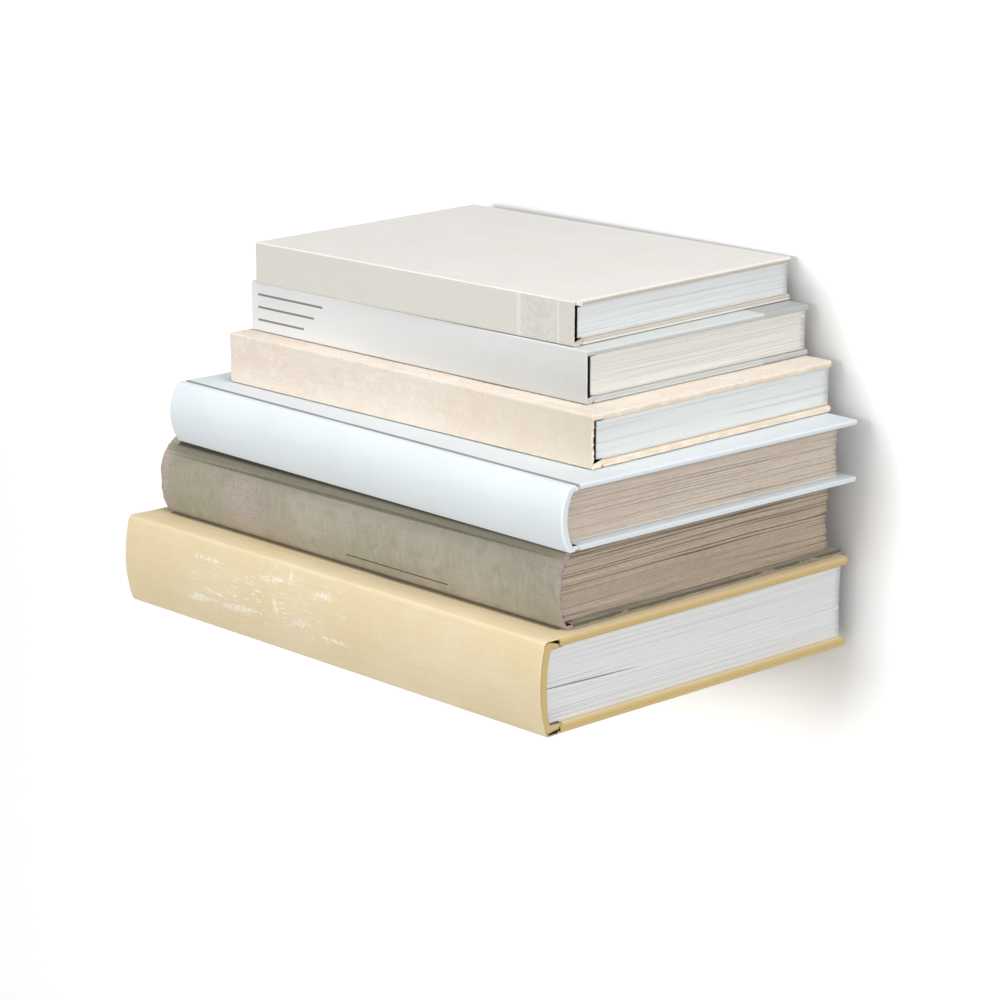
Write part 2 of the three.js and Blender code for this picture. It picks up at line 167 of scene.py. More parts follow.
def wall_paint():
    """Matt white wall paint: the eye gets a plain white that takes soft shadows."""
    material, tree, output = new_material("wall_paint_matt_white")
    side = add_node(tree, "ShaderNodeNewGeometry")
    paint = add_node(tree, "ShaderNodeBsdfDiffuse", inputs={"Color": PAINT})
    shade = {"Color": WHITE, "Distance": CORNER_REACH}
    shade = add_node(tree, "ShaderNodeAmbientOcclusion", {"samples": CORNER_SAMPLES}, shade)
    place = add_node(tree, "ShaderNodeSeparateXYZ", inputs={0: side.outputs["Position"]})
    upper, lower = CORNER_FADE
    below = {"Value": place.outputs[2], "From Min": upper, "From Max": lower, "To Max": CORNER_SHARE}
    below = add_node(tree, "ShaderNodeMapRange", inputs=below)
    dim = {0: below.outputs[0], 2: 1.0, 3: shade.outputs[1]}
    dim = add_node(tree, "ShaderNodeMix", {"data_type": "FLOAT"}, dim)
    glow = add_node(tree, "ShaderNodeMath", {"operation": "MULTIPLY"}, {0: dim.outputs[0], 1: WALL_GLOW})
    bright = add_node(tree, "ShaderNodeBsdfDiffuse", inputs={"Color": glow.outputs[0]})
    front = {0: background_rays(tree), 1: paint.outputs[0], 2: bright.outputs[0]}
    front = add_node(tree, "ShaderNodeMixShader", inputs=front)
    clear = add_node(tree, "ShaderNodeBsdfTransparent")
    faces = {0: side.outputs["Backfacing"], 1: front.outputs[0], 2: clear.outputs[0]}
    faces = add_node(tree, "ShaderNodeMixShader", inputs=faces)
    tree.links.new(faces.outputs[0], output.inputs["Surface"])
    return material


def floor_paint():
    """Pale matt floor paint."""
    material, tree, output = new_material("floor_paint_pale")
    paint = add_node(tree, "ShaderNodeBsdfDiffuse", inputs={"Color": PAINT})
    tree.links.new(paint.outputs[0], output.inputs["Surface"])
    return material


half, low = STAGE_SIDE / 2, -FLOOR_BELOW
wall_corners = [(x, WALL_BEHIND, z) for x, z in ((-half, low), (half, low), (half, half), (-half, half))]
floor_corners = [(x, y, low) for x, y in ((-half, -half), (half, -half), (half, half), (-half, half))]
wall = stage_plane("wall", wall_corners, wall_paint())
wall.visible_shadow = False
wall.visible_diffuse = False
stage_plane("floor", floor_corners, floor_paint())

# %% [markdown]
# The light is that of a white studio: an even glow from all round, and three large soft lamps. The one
# in front, a little to the left and above, throws the narrow shadow on the wall. The one on the right
# lights the ends of the leaves, and the one overhead the top. Their shares add up to about one on each
# side that the camera sees, so a colour renders about as it is written.

# %% Light
GLOW_SHARE = 0.265
LAMP_DISTANCE = 1.8
LAMPS = {
    "front_softbox": {"azimuth": -2.5, "elevation": 10, "size": 0.6, "share": 0.5},
    "side_softbox": {"azimuth": 80, "elevation": 18, "size": 0.9, "share": 0.6},
    "top_softbox": {"azimuth": 50, "elevation": 75, "size": 0.9, "share": 0.5},
}

world = bpy.data.worlds.new("studio")
bpy.context.scene.world = world
world.use_nodes = True
world.node_tree.nodes.clear()
sky = world.node_tree
glow = add_node(sky, "ShaderNodeBackground", inputs={"Color": WHITE, "Strength": GLOW_SHARE})
backdrop = add_node(sky, "ShaderNodeBackground", inputs={"Color": WHITE, "Strength": 1.0})
seen = {0: background_rays(sky), 1: glow.outputs[0], 2: backdrop.outputs[0]}
seen = add_node(sky, "ShaderNodeMixShader", inputs=seen)
add_node(sky, "ShaderNodeOutputWorld", inputs={"Surface": seen.outputs[0]})

for name, lamp in LAMPS.items():
    data = bpy.data.lights.new(name, "AREA")
    data.shape = "DISK"
    data.size = lamp["size"]
    # a white face at d metres from a lamp of E watts shines with E / (pi * d)^2
    data.energy = lamp["share"] * math.pi**2 * LAMP_DISTANCE**2
    softbox = bpy.data.objects.new(name, data)
    bpy.context.scene.collection.objects.link(softbox)
    angles = math.radians(lamp["azimuth"]), math.radians(lamp["elevation"])
    aim(softbox, CAMERA_TARGET + direction(*angles) * LAMP_DISTANCE, CAMERA_TARGET)
bpy.context.scene.view_settings.view_transform = "Standard"

# %% [markdown]
# Every book keeps its own directions: along from its right end, across from its fore-edge towards the
# spine, and up from its back cover. The endpaper glued inside a board is an exact box, so its long edge
# gives the turn of the book, and the CAD boards, spine and leaves give every size.

# %% Measure the books
BOOKS = ["book_1", "book_2", "book_3", "book_4", "book_5", "book_6"]
SAME_LEVEL = 0.01  # points this close to a height lie at it, in mm


def vertices_of(node):
    """Corners of a CAD node in millimetres, one row each."""
    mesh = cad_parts[node].data
    flat = np.zeros(len(mesh.vertices) * 3, np.float32)
    mesh.vertices.foreach_get("co", flat)
    return flat.reshape(-1, 3).astype(float) / MM


def long_edge(node):
    """Unit vector along the longest side of a box-shaped node, in plan, pointing to -X."""
    corners = np.unique(vertices_of(node)[:, :2].round(2), axis=0)
    apart = corners[:, None] - corners[None]
    lengths = np.linalg.norm(apart, axis=2)
    from_first = np.argsort(lengths[0])
    side = apart[from_first[2], 0]
    side = side / np.linalg.norm(side)
    return side if side[0] < 0 else -side


def measure(name):
    """The book's place, directions and sizes, in millimetres, from its CAD nodes."""
    along = long_edge(f"{name}_front_pastedown")
    across = np.array([-along[1], along[0]])
    turn = np.array([[*along, 0], [*across, 0], [0, 0, 1]])
    parts = {}
    for part in ("front_cover", "back_cover", "spine", "text_block"):
        local = vertices_of(f"{name}_{part}") @ turn.T
        parts[part] = (local.min(0), local.max(0), local)
    origin = parts["back_cover"][0]
    spine = parts["spine"][2] - origin
    top = spine[:, 2].max()
    # a rounded spine's wall is measured near half height, and a flat spine has corners only
    near_middle = spine[np.abs(spine[:, 2] - top / 2) < top / 16]
    inside = (near_middle if len(near_middle) else spine)[:, 1].min()
    at_top, at_foot = spine[spine[:, 2] > top - SAME_LEVEL, 1], spine[spine[:, 2] < SAME_LEVEL, 1]
    return {
        "name": name,
        "turn": turn,
        "origin": origin,
        "length": parts["back_cover"][1][0] - origin[0],
        "width": spine[:, 1].max(),
        "thickness": top,
        "board": parts["back_cover"][1][2] - origin[2],
        "front_end": (parts["front_cover"][1] - origin)[1],
        "back_end": (parts["back_cover"][1] - origin)[1],
        "front_drop": spine[:, 1].max() - at_top.max(),
        "back_drop": spine[:, 1].max() - at_foot.max(),
        "shoulder": np.ptp(at_top),
        "wall": spine[:, 1].max() - inside,
        "leaves_low": parts["text_block"][0] - origin,
        "leaves_high": parts["text_block"][1] - origin,
        "leaves": parts["text_block"][2] - origin,
    }


books = {name: measure(name) for name in BOOKS}
for name, book in books.items():
    sizes = {k: round(float(v), 2) for k, v in book.items() if np.ndim(v) == 0 and k != "name"}
    print(name, sizes)

# %% [markdown]
# Boards, covering cloth and blocks of leaves are all blocks of cells that have been bent to shape. So one
# function makes the closed skin of such a block, as six grids that share their edges, and each piece
# brings its own formula from the block's three parameters to millimetres. Faces point outwards because
# the skin is turned round where its volume comes out negative.

# %% Skins
def skin_faces(counts):
    """Which lattice points lie on the skin of a block, and its quads as rows of four vertex numbers."""
    on_skin = np.zeros(counts, bool)
    for axis in range(3):
        for end in (0, -1):
            np.moveaxis(on_skin, axis, 0)[end] = True
    number = np.full(counts, -1)
    number[on_skin] = np.arange(on_skin.sum())
    quads = []
    for axis, far_side in ((0, 1), (1, -1), (2, 1)):
        for end, facing in ((0, -far_side), (-1, far_side)):
            side = np.take(number, end, axis)
            ring = [side[:-1, :-1], side[1:, :-1], side[1:, 1:], side[:-1, 1:]]
            quads.append(np.stack(ring[::facing], -1).reshape(-1, 4))
    return np.nonzero(on_skin), np.concatenate(quads)


def signed_volume(points, quads):
    """Six times the volume inside quads, from the triple products of their two triangles."""
    a, b, c, d = (points[quads[:, i]] for i in range(4))
    return (a * (np.cross(b, c) + np.cross(c, d))).sum()


def make_piece(name, points, quads, surface, values, material):
    """An object from points in millimetres. surface is a UV map in millimetres, laid flat on the piece, and
    values are named numbers for each vertex, which the materials read."""
    if signed_volume(points, quads) < 0:
        quads = quads[:, ::-1]
    mesh = bpy.data.meshes.new(name)
    mesh.vertices.add(len(points))
    mesh.vertices.foreach_set("co", (points * MM).astype(np.float32).ravel())
    mesh.loops.add(quads.size)
    mesh.loops.foreach_set("vertex_index", quads.astype(np.int32).ravel())
    mesh.polygons.add(len(quads))
    mesh.polygons.foreach_set("loop_start", np.arange(0, quads.size, 4, dtype=np.int32))
    mesh.polygons.foreach_set("loop_total", np.full(len(quads), 4, np.int32))
    mesh.update(calc_edges=True)
    mesh.polygons.foreach_set("use_smooth", np.ones(len(quads), bool))
    layer = mesh.uv_layers.new(name="surface")
    layer.uv.foreach_set("vector", (surface[quads.ravel()] * MM).astype(np.float32).ravel())
    for key, value in values.items():
        mesh.attributes.new(key, "FLOAT", "POINT").data.foreach_set("value", value.astype(np.float32))
    mesh.materials.append(material)
    piece = bpy.data.objects.new(name, mesh)
    bpy.context.scene.collection.objects.link(piece)
    return piece


def placed(book, along, across, up):
    """Frame coordinates, in millimetres, of places given in a book's own directions."""
    return (book["origin"] + np.stack([along, across, up], -1)) @ book["turn"]


# %% [markdown]
# Four small formulas do the shaping: where the rows of a skin lie, how an edge is rounded, a smooth step,
# and a smooth noise for what is handmade and worn. The noise draws from a seed, so that it is the same on
# every run.

# %% Curves and noise
RIPPLE_SINES = 12
FULL_TURN = 6.28  # radians


def stations(length, step, first=0.0, last=0.0, rings=6):
    """Places from 0 to a length in even steps, drawn together in a band at each end as the rings of a
    quarter circle are: band * (1 - cos a)."""
    steps = max(1, round((length - first - last) / step))
    middle = np.linspace(first, length - last, steps + 1)
    bend = (1 - np.cos(np.linspace(0, math.pi / 2, rings + 1)))[:-1]
    start = first * bend if first else bend[:0]
    end = length - last * bend[::-1] if last else bend[:0]
    return np.concatenate([start, middle, end])


def round_over(distance, radius):
    """How far a rounded edge has fallen at a distance from its side: r - sqrt(r^2 - (r - d)^2)."""
    return radius - np.sqrt(np.maximum(radius**2 - np.maximum(radius - distance, 0) ** 2, 0))


def smooth_step(value, low, high):
    """0 below low, 1 above high, and 3t^2 - 2t^3 between."""
    t = np.clip((value - low) / (high - low), 0, 1)
    return t * t * (3 - 2 * t)


def ripple(a, b, seed, shortest, longest):
    """Smooth noise between about -1 and 1: a mean of sines in random directions. Their wavelengths are
    spaced evenly by ratio."""
    draw = np.random.default_rng(seed)
    waves = np.geomspace(shortest, longest, RIPPLE_SINES)
    headings = draw.uniform(0, math.pi, RIPPLE_SINES)
    phases = draw.uniform(0, FULL_TURN, RIPPLE_SINES)
    total = 0
    for wave, heading, phase in zip(waves, headings, phases):
        total = total + np.sin(2 * math.pi * (a * math.cos(heading) + b * math.sin(heading)) / wave + phase)
    return total / math.sqrt(RIPPLE_SINES / 2)


# %% [markdown]
# What differs from book to book is kept in one table, in millimetres. Edge and corner are the radii that
# the covering gives a board, ripple is how far its face sinks in shallow waves, and fray how uneven worn
# cloth is. Crest is how softly the cloth turns at the spine's edges, and pull how much earlier than in the
# CAD a board ends and the spine's strip begins. A groove is the depth of a joint and what is added at its
# ends. There the turned-in cloth makes a small thick ear, given next to the board and next to the spine,
# and the spine is as thick as end_wall. Roundness is the power of a rounded back's curve, and flat backs
# have none.

# %% What differs between the books
LOOK_COLUMNS = (
    "edge", "corner", "ripple", "fray", "crest", "pull", "end_wall",
    "front_groove", "back_groove", "ear", "roundness",
)
LOOKS = {
    "book_1": (1.1, 2.2, 0.10, 0.10, 2.6, 0.0, 0.75, (0.1, 0.0), (0.2, 1.2), (0.5, 0.5), 2.0),
    "book_2": (0.7, 2.0, 0.12, 0.35, 2.2, 0.0, 1.3, (0.25, 0.1), (0.1, 0.3), (2.4, 2.2), 3.0),
    "book_3": (0.7, 1.2, 0.06, 0.05, 1.5, 0.0, 4.1, (0.75, 0.5), (0.3, 0.9), (3.0, 3.0), 2.2),
    "book_4": (0.8, 1.8, 0.08, 0.30, 1.0, 1.0, 1.2, (0.15, 0.2), (0.1, 1.1), (4.1, 2.7), None),
    "book_5": (0.7, 1.2, 0.04, 0.04, 0.9, 0.7, 0.8, (0.08, 0.1), (0.1, 1.1), (3.7, 2.6), None),
    "book_6": (0.7, 1.6, 0.08, 0.06, 0.9, 1.9, 0.45, (0.08, 0.1), (0.1, 1.0), (3.1, 2.1), None),
}
for name, row in LOOKS.items():
    book = books[name]
    book.update(zip(LOOK_COLUMNS, row))
    book["front_start"], book["back_start"] = (book[end] - book["pull"] for end in ("front_end", "back_end"))
print("rounded backs:", [name for name, book in books.items() if book["roundness"]])

# %% [markdown]
# A cover is a board of grey card with cloth or paper drawn over it and turned in at three edges. That
# rounds those edges and makes small round corners at the fore-edge, while the covering runs on over the
# joint at the spine. The formula takes a flat slab, pulls its two free plan corners in from square to
# round, and lets the face fall away near each free side by a quarter circle.

# %% Boards
BOARD_STEP = 4.0
BOARD_ROWS = 4
LAST_FACES = 0.6  # width of the faces next to the joint
WARP_WAVES = (40, 160)  # shortest and longest waves that a board's face sinks in
WARP_SEED = 10
FRAY_WAVES = (3, 14)
FRAY_LIMITS = (-0.2, 0.35)  # how far an edge may stand out and draw in
FRAY_SEED = 30
WEAR_REACH = 3.0  # over which wear fades from an edge


def board_piece(book, side, material):
    """A covered board. side is front, with its outer face up, or back, with its outer face down."""
    radius, corner, thick = book["edge"], book["corner"], book["board"]
    length, end, number = book["length"], book[f"{side}_start"], BOOKS.index(book["name"])
    s_at = stations(length, BOARD_STEP, corner, corner)
    u_at = np.append(stations(end - LAST_FACES, BOARD_STEP, corner), end)
    w_at = np.linspace(0, 1, BOARD_ROWS)
    (i, j, k), quads = skin_faces((len(s_at), len(u_at), len(w_at)))
    flat = np.stack([s_at[i], u_at[j]], 1)
    core = np.clip(flat, [corner, corner], [length - corner, end])
    out = flat - core
    square = np.abs(out).max(1)
    circle = np.maximum(np.linalg.norm(out, axis=1), 1e-9)
    plan = core + out * (square / circle)[:, None]
    fall = round_over(corner - square, radius)
    w = w_at[k]
    up = np.where(w == 1, thick - fall, np.where(w == 0, fall, radius + w * (thick - 2 * radius)))
    wave = np.maximum(ripple(plan[:, 0], plan[:, 1], number + WARP_SEED, *WARP_WAVES), 0)
    up = up - np.where(w == 1, book["ripple"] * wave * np.clip(1 - square / corner, 0, 1), 0)
    from_ends = np.minimum(plan[:, 0], length - plan[:, 0])
    edge = np.exp(-np.minimum(from_ends, plan[:, 1]).clip(0) / WEAR_REACH)
    rough = book["fray"] * ripple(plan[:, 0] + plan[:, 1], up, number + FRAY_SEED, *FRAY_WAVES)
    plan = plan - np.sign(out) * (rough * (square / corner) ** 4)[:, None].clip(*FRAY_LIMITS)
    surface = plan + (thick - up)[:, None] * np.sign(out)
    if side == "back":
        up = thick - up
    up = up + (book["thickness"] - thick if side == "front" else 0)
    # the board's end wall at the joint is marked as a hollow, for painted shade
    hidden = (u_at[j] == end) * (w < 1) * smooth_step(from_ends, 0.2, 0.8)
    values = {"edge": edge, "rim": 1 - w, "inside": hidden}
    points = placed(book, plan[:, 0], plan[:, 1], up)
    piece = make_piece(f"{book['name']}_{side}_board", points, quads, surface, values, material)
    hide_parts(f"{book['name']}_{side}_cover")
    return piece


# %% [markdown]
# The covering runs from board to board round the spine as one strip, with a stiff lining in its middle.
# Its section lies between an outer line and an inner line. Each is three runs of corners, for the front
# joint, the spine and the back joint, spaced evenly. The outer line's corners are then softened with a
# bell-shaped mean, as cloth does over an edge. At the head and tail the inner line moves in, where the
# cloth is turned in and doubled.

# %% Lines
LINE_STEP = 0.35


def run_along(points):
    """Distance of each point of a line from the first, along the line."""
    steps = np.linalg.norm(np.diff(np.array(points, float), axis=0), axis=1)
    return np.concatenate([[0], np.cumsum(steps)])


def resampled(corners, count):
    """Points spaced evenly by length along a line of corners."""
    corners = np.array(corners, float)
    run = run_along(corners)
    at = np.linspace(0, run[-1], count)
    return np.stack([np.interp(at, run, corners[:, i]) for i in (0, 1)], 1)


def softened(points, spread):
    """Rounds the corners of an evenly spaced line: each point becomes a bell-weighted mean of those within
    the spread. Both ends stay, because the line goes on beyond them as its own mirror image."""
    reach = max(1, int(round(spread / LINE_STEP)))
    bell = np.hanning(2 * reach + 3)[1:-1]
    before = 2 * points[0] - points[reach:0:-1]
    after = 2 * points[-1] - points[-2 : -reach - 2 : -1]
    line = np.concatenate([before, points, after])
    return np.stack([np.convolve(line[:, i], bell / bell.sum(), "valid") for i in (0, 1)], 1)


def joined(runs, counts):
    """Three runs of corners, each resampled to its count, as one line."""
    parts = [resampled(run, count) for run, count in zip(runs, counts)]
    return np.concatenate([parts[0], parts[1][1:], parts[2][1:]])


# %% Section of a spine
CLOTH_SHEET = 0.9
NEAR_BOARD = 1.2  # how far from a board its thickness of turned-in cloth goes
BACK_POINTS = 90
INSIDE_POINTS = 60


def back_line(book, heights):
    """Outside of a rounded spine: its width less a drop that grows as a power of the distance from the
    middle."""
    middle = book["thickness"] / 2
    share = (heights - middle) / middle
    drop = np.where(share > 0, book["front_drop"], book["back_drop"])
    return book["width"] - drop * np.abs(share) ** book["roundness"]


def outer_runs(book, front_start):
    """Corners of the outer line, level with both covers and following the back of the spine between."""
    top, back_start = book["thickness"], book["back_start"]
    if not book["roundness"]:
        crest, foot = [book["width"], top], [book["width"], 0]
        return [[[front_start, top], crest], [crest, foot], [foot, [back_start, 0]]]
    heights = np.linspace(top, 0, BACK_POINTS)
    back = np.stack([back_line(book, heights), heights], 1)
    crest, foot = [back[0, 0] - book["shoulder"], top], [back[-1, 0] - book["shoulder"], 0]
    return [[[front_start, top], crest], [crest, *back, foot], [foot, [back_start, 0]]]


def inner_runs(book, front_start, wall, near, far):
    """Corners of the inner line: a sheet that is `near` thick next to the boards and `far` thick next to the
    spine, and a spine wall between them."""
    top, back_start = book["thickness"], book["back_start"]
    front = [[front_start, top - near], [front_start + NEAR_BOARD, top - near]]
    back = [[back_start + NEAR_BOARD, near], [back_start, near]]
    if front_start > book["front_start"]:
        front = [[front_start, top - far]]
    if not book["roundness"]:
        crest, foot = [book["width"] - wall, top - far], [book["width"] - wall, far]
        return [[*front, crest], [crest, foot], [foot, *back]]
    heights = np.linspace(top - far, far, INSIDE_POINTS)
    inside = np.stack([back_line(book, heights) - wall, heights], 1)
    inside[:, 0] = np.minimum(inside[:, 0], book["width"] - wall)
    return [[*front, inside[0]], inside, [inside[-1], *back]]


def section(book, front_start):
    """The outer line, the inner line and the inner line at the head and tail, point for point."""
    outer = outer_runs(book, front_start)
    counts = [max(3, int(round(run_along(run)[-1] / LINE_STEP)) + 1) for run in outer]
    near, far = book["ear"]
    return (
        softened(joined(outer, counts), book["crest"]),
        joined(inner_runs(book, front_start, book["wall"], CLOTH_SHEET, CLOTH_SHEET), counts),
        joined(inner_runs(book, front_start, book["end_wall"], near, far), counts),
    )


# %% [markdown]
# The strip is its section carried along the book. Near each end it narrows by a quarter circle, where the
# cloth turns over the edge. The groove of a joint is a bell-shaped dip in the outer line.

# %% Spine cloth
CLOTH_STEP = 3.0
CLOTH_ROWS = 3
CLOTH_END = 2.4  # band of close rings at the head and tail
CLOTH_RINGS = 8
CLOTH_LIP = 0.2  # place of one more ring, so that the ear's face stands upright
CLOTH_TURN = 0.6  # largest radius of the cloth's fold at the head and tail
TURN_SHARE = 0.4  # of the wall there, if that is less
CLOTH_CLEARANCE = 0.03
THINNEST = 0.05  # a thickness is taken as no less before it divides
MOST_FALL = 0.45  # of the thickness, so that the two faces never meet
GROOVE_WIDTH = 0.55
GROOVE_PLACE = 0.7  # from the end of the board
GROOVE_END = 2.0
EAR_REACH = 0.9  # from the head and tail
CLOTH_FRAY_WAVES = (2.5, 12)
CLOTH_FRAY_MOST = 0.6
CLOTH_FRAY_REACH = 1.2
CLOTH_SEED = 50
CREST_REACH = 1.6
CREST_WEAR = 0.75  # at the two long edges of the spine
HINGE_LAP = 0.05  # of the top book's spine cloth under its hinge cloth


def dip(book, side, across, from_end):
    """Depth of a joint's groove: a bell across the joint, and more of it near the head and tail."""
    depth, extra = book[f"{side}_groove"]
    bell = np.exp(-(((across - book[f"{side}_start"] - GROOVE_PLACE) / GROOVE_WIDTH) ** 2))
    return (depth + extra * np.exp(-((from_end / GROOVE_END) ** 2))) * bell


def spine_cloth(book, front_start, material):
    """The covering from a place on the front cover round the spine to the back board."""
    outer, inner, inner_end = section(book, front_start)
    length, top = book["length"], book["thickness"]
    radius = min(CLOTH_TURN, book["end_wall"] * TURN_SHARE)
    s_at = stations(length, CLOTH_STEP, CLOTH_END, CLOTH_END, CLOTH_RINGS)
    s_at = np.unique(np.concatenate([s_at, [CLOTH_LIP, length - CLOTH_LIP]]))
    (i, j, k), quads = skin_faces((len(s_at), len(outer), CLOTH_ROWS))
    from_end = np.minimum(s_at[i], length - s_at[i])
    near_end = np.exp(-((from_end / EAR_REACH) ** 2))[:, None]
    inside_line = inner[j] * (1 - near_end) + inner_end[j] * near_end
    outside = outer[j].copy()
    dips = {side: dip(book, side, outside[:, 0], from_end) for side in ("front", "back")}
    outside[:, 1] += np.where(outside[:, 1] > top / 2, -dips["front"], dips["back"])
    gap = np.maximum(np.linalg.norm(outside - inside_line, axis=1), THINNEST)
    fall = np.minimum(round_over(from_end, radius) / gap, MOST_FALL)
    w = np.clip(k / 2, fall, 1 - fall)
    line = inside_line + (outside - inside_line) * w[:, None]
    run = run_along(outer)
    seed = BOOKS.index(book["name"]) + CLOTH_SEED
    rough = book["fray"] * ripple(run[j], line[:, 0], seed, *CLOTH_FRAY_WAVES)
    toward = np.where(s_at[i] < length / 2, -1, 1)
    drawn_in = (rough - book["fray"]).clip(-CLOTH_FRAY_MOST, 0.0) * np.exp(-from_end / CLOTH_FRAY_REACH)
    along = s_at[i] + toward * drawn_in
    from_crest = np.minimum(*(np.abs(run[j] - run[p]) for p in crest_points(book, outer)))
    surface = np.stack([s_at[i], run[j] + front_start], 1)
    values = {
        "edge": np.maximum(np.exp(-from_end / WEAR_REACH), CREST_WEAR * np.exp(-from_crest / CREST_REACH)),
        "rim": 1 - k / 2,
        "inside": (k == 0) * smooth_step(from_end, 0.15, 0.7),
    }
    points = placed(book, along, line[:, 0], line[:, 1])
    return make_piece(f"{book['name']}_spine_cloth", points, quads, surface, values, material)


def crest_points(book, outer):
    """Where the outer line turns most, at the front and at the back edge of the spine."""
    middle = len(outer) // 2
    reach = max(np.abs(outer[:, 1] - book["thickness"]).min(), LINE_STEP)
    front = np.nonzero(outer[:middle, 1] > book["thickness"] - reach - LINE_STEP)[0][-1]
    back = middle + np.nonzero(outer[middle:, 1] < 2 * LINE_STEP)[0][0]
    return front, back


def spine_cloth_piece(book, material):
    """The whole strip, or for the top book the part behind its front hinge."""
    hinged = book["name"] == "book_6"
    front_start = book["front_start"] + CLOTH_CLEARANCE
    if hinged:
        front_start = book["width"] - book["wall"] - HINGE_LAP
    piece = spine_cloth(book, front_start, material)
    nodes = ["spine", "back_joint"] if hinged else ["spine", "front_joint", "back_joint"]
    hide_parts(*(f"{book['name']}_{node}" for node in nodes))
    return piece


# %% [markdown]
# The top book's cover opens, so its front joint is a piece of its own. It is a thin strip of the same
# cloth that runs from the cover on one side to the spine on the other.

# %% Hinge cloth
HINGE_COUNT = 21
HINGE_TURN = 0.5


def hinge_cloth_piece(book, material):
    """A flat strip in the front joint, thicker at the head and tail where the cloth is turned in."""
    top, length = book["thickness"], book["length"]
    start, end = book["front_start"] + CLOTH_CLEARANCE, book["width"] - book["wall"]
    u_at = np.linspace(start, end, HINGE_COUNT)
    s_at = stations(length, CLOTH_STEP, CLOTH_END, CLOTH_END, CLOTH_RINGS)
    (i, j, k), quads = skin_faces((len(s_at), HINGE_COUNT, CLOTH_ROWS))
    from_end = np.minimum(s_at[i], length - s_at[i])
    near_end = np.exp(-((from_end / EAR_REACH) ** 2))
    near, far = book["ear"]
    ear = np.interp(u_at[j], [start, start + NEAR_BOARD, end], [near, near, far])
    sheet = CLOTH_SHEET * (1 - near_end) + ear * near_end
    fall = np.minimum(round_over(from_end, HINGE_TURN) / sheet, MOST_FALL)
    up = top - dip(book, "front", u_at[j], from_end) - sheet * (1 - np.clip(k / 2, fall, 1 - fall))
    surface = np.stack([s_at[i], u_at[j]], 1)
    values = {"edge": np.exp(-from_end / WEAR_REACH), "inside": (k == 0) * smooth_step(from_end, 0.15, 0.7)}
    points = placed(book, s_at[i], u_at[j], up)
    piece = make_piece(f"{book['name']}_front_hinge_cloth", points, quads, surface, values, material)
    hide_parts(f"{book['name']}_front_joint")
    return piece


# %% [markdown]
# The bottom book has a hollow back: behind the outer cloth stands a thick card strip, covered with the
# turned-in cloth, which reaches under both boards. A thin gap opens between the two layers, and a small
# hole under the cloth of each joint. The card is swept between two lines. Their corners are given from
# the ends of the two covers and from the top of the book, in millimetres.

# %% Turned-in card of the bottom book
CARD_COUNT = 120
CARD_GAP = 0.5
CARD_GAP_HEIGHT = 27.0
CARD_GAP_HALF = 15.0
CARD_CURVE_POINTS = 50
CARD_END = 0.8
CARD_INSET = 0.35  # from the head and tail


def turned_in_piece(book, material):
    """The card strip. Its outer line keeps a gap from the outer cloth, which is even round the middle height
    and closes above and below as 1 - t^4."""
    skin, board, top = book["end_wall"], book["board"], book["thickness"]
    front, back = book["front_end"], book["back_end"]
    heights = np.linspace(top - 2.2, 2.0, CARD_CURVE_POINTS)
    gap = CARD_GAP * np.clip(1 - ((heights - CARD_GAP_HEIGHT) / CARD_GAP_HALF) ** 4, 0, 1)
    curve = np.stack([back_line(book, heights) - skin - CLOTH_CLEARANCE - gap, heights], 1)
    outer = [
        [front - 2.3, top - board - 0.1], [front + 0.1, top - board - 0.1], [front + 0.3, top - 2.6],
        [front + 2.1, top - 2.0], [front + 6.6, top - 0.85], [front + 8.2, top - 1.1], *curve,
        [back + 7.2, 1.35], [back + 3.6, 2.0], [back + 0.6, 2.2], [back + 0.1, board + 0.1],
        [back - 2.3, board + 0.1],
    ]
    inner = [
        [front - 2.3, top - board - 0.55], [front + 4.2, top - board - 0.6], [front + 5.5, top - board - 1.4],
        [front + 6.8, top - 12], [front + 7.3, 22.5], [front + 6.8, 10], [back + 6.3, 5.4],
        [back + 5.0, 4.7], [back - 2.3, board + 0.5],
    ]
    outer, inner = resampled(outer, CARD_COUNT), resampled(inner, CARD_COUNT)
    length = book["length"]
    s_at = stations(length, CLOTH_STEP, CARD_END, CARD_END)
    (i, j, k), quads = skin_faces((len(s_at), CARD_COUNT, CLOTH_ROWS))
    from_end = np.minimum(s_at[i], length - s_at[i])
    thick = np.maximum(np.linalg.norm(outer[j] - inner[j], axis=1), THINNEST)
    fall = np.minimum(round_over(from_end, CLOTH_TURN) / thick, MOST_FALL)
    line = inner[j] + (outer[j] - inner[j]) * np.clip(k / 2, fall, 1 - fall)[:, None]
    surface = np.stack([s_at[i] - k, run_along(outer)[j]], 1)
    values = {"edge": np.zeros(len(i)), "turned": np.ones(len(i)), "inside": smooth_step(from_end, 0.5, 1.2)}
    along = CARD_INSET + s_at[i] * (1 - 2 * CARD_INSET / length)
    points = placed(book, along, line[:, 0], line[:, 1])
    piece = make_piece(f"{book['name']}_turned_in_card", points, quads, surface, values, material)
    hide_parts(f"{book['name']}_spine")
    return piece


# %% [markdown]
# The leaves are folded sheets sewn in gatherings and trimmed together, so their edges make a surface of
# fine parallel ridges that wander a little. Real leaves are a tenth of a millimetre thick, too fine to
# show here, so each ridge stands for a few of them. Rows of the skin go in and out by a small random
# amount that changes slowly along the edge, and groups of rows stand out together as gatherings do.

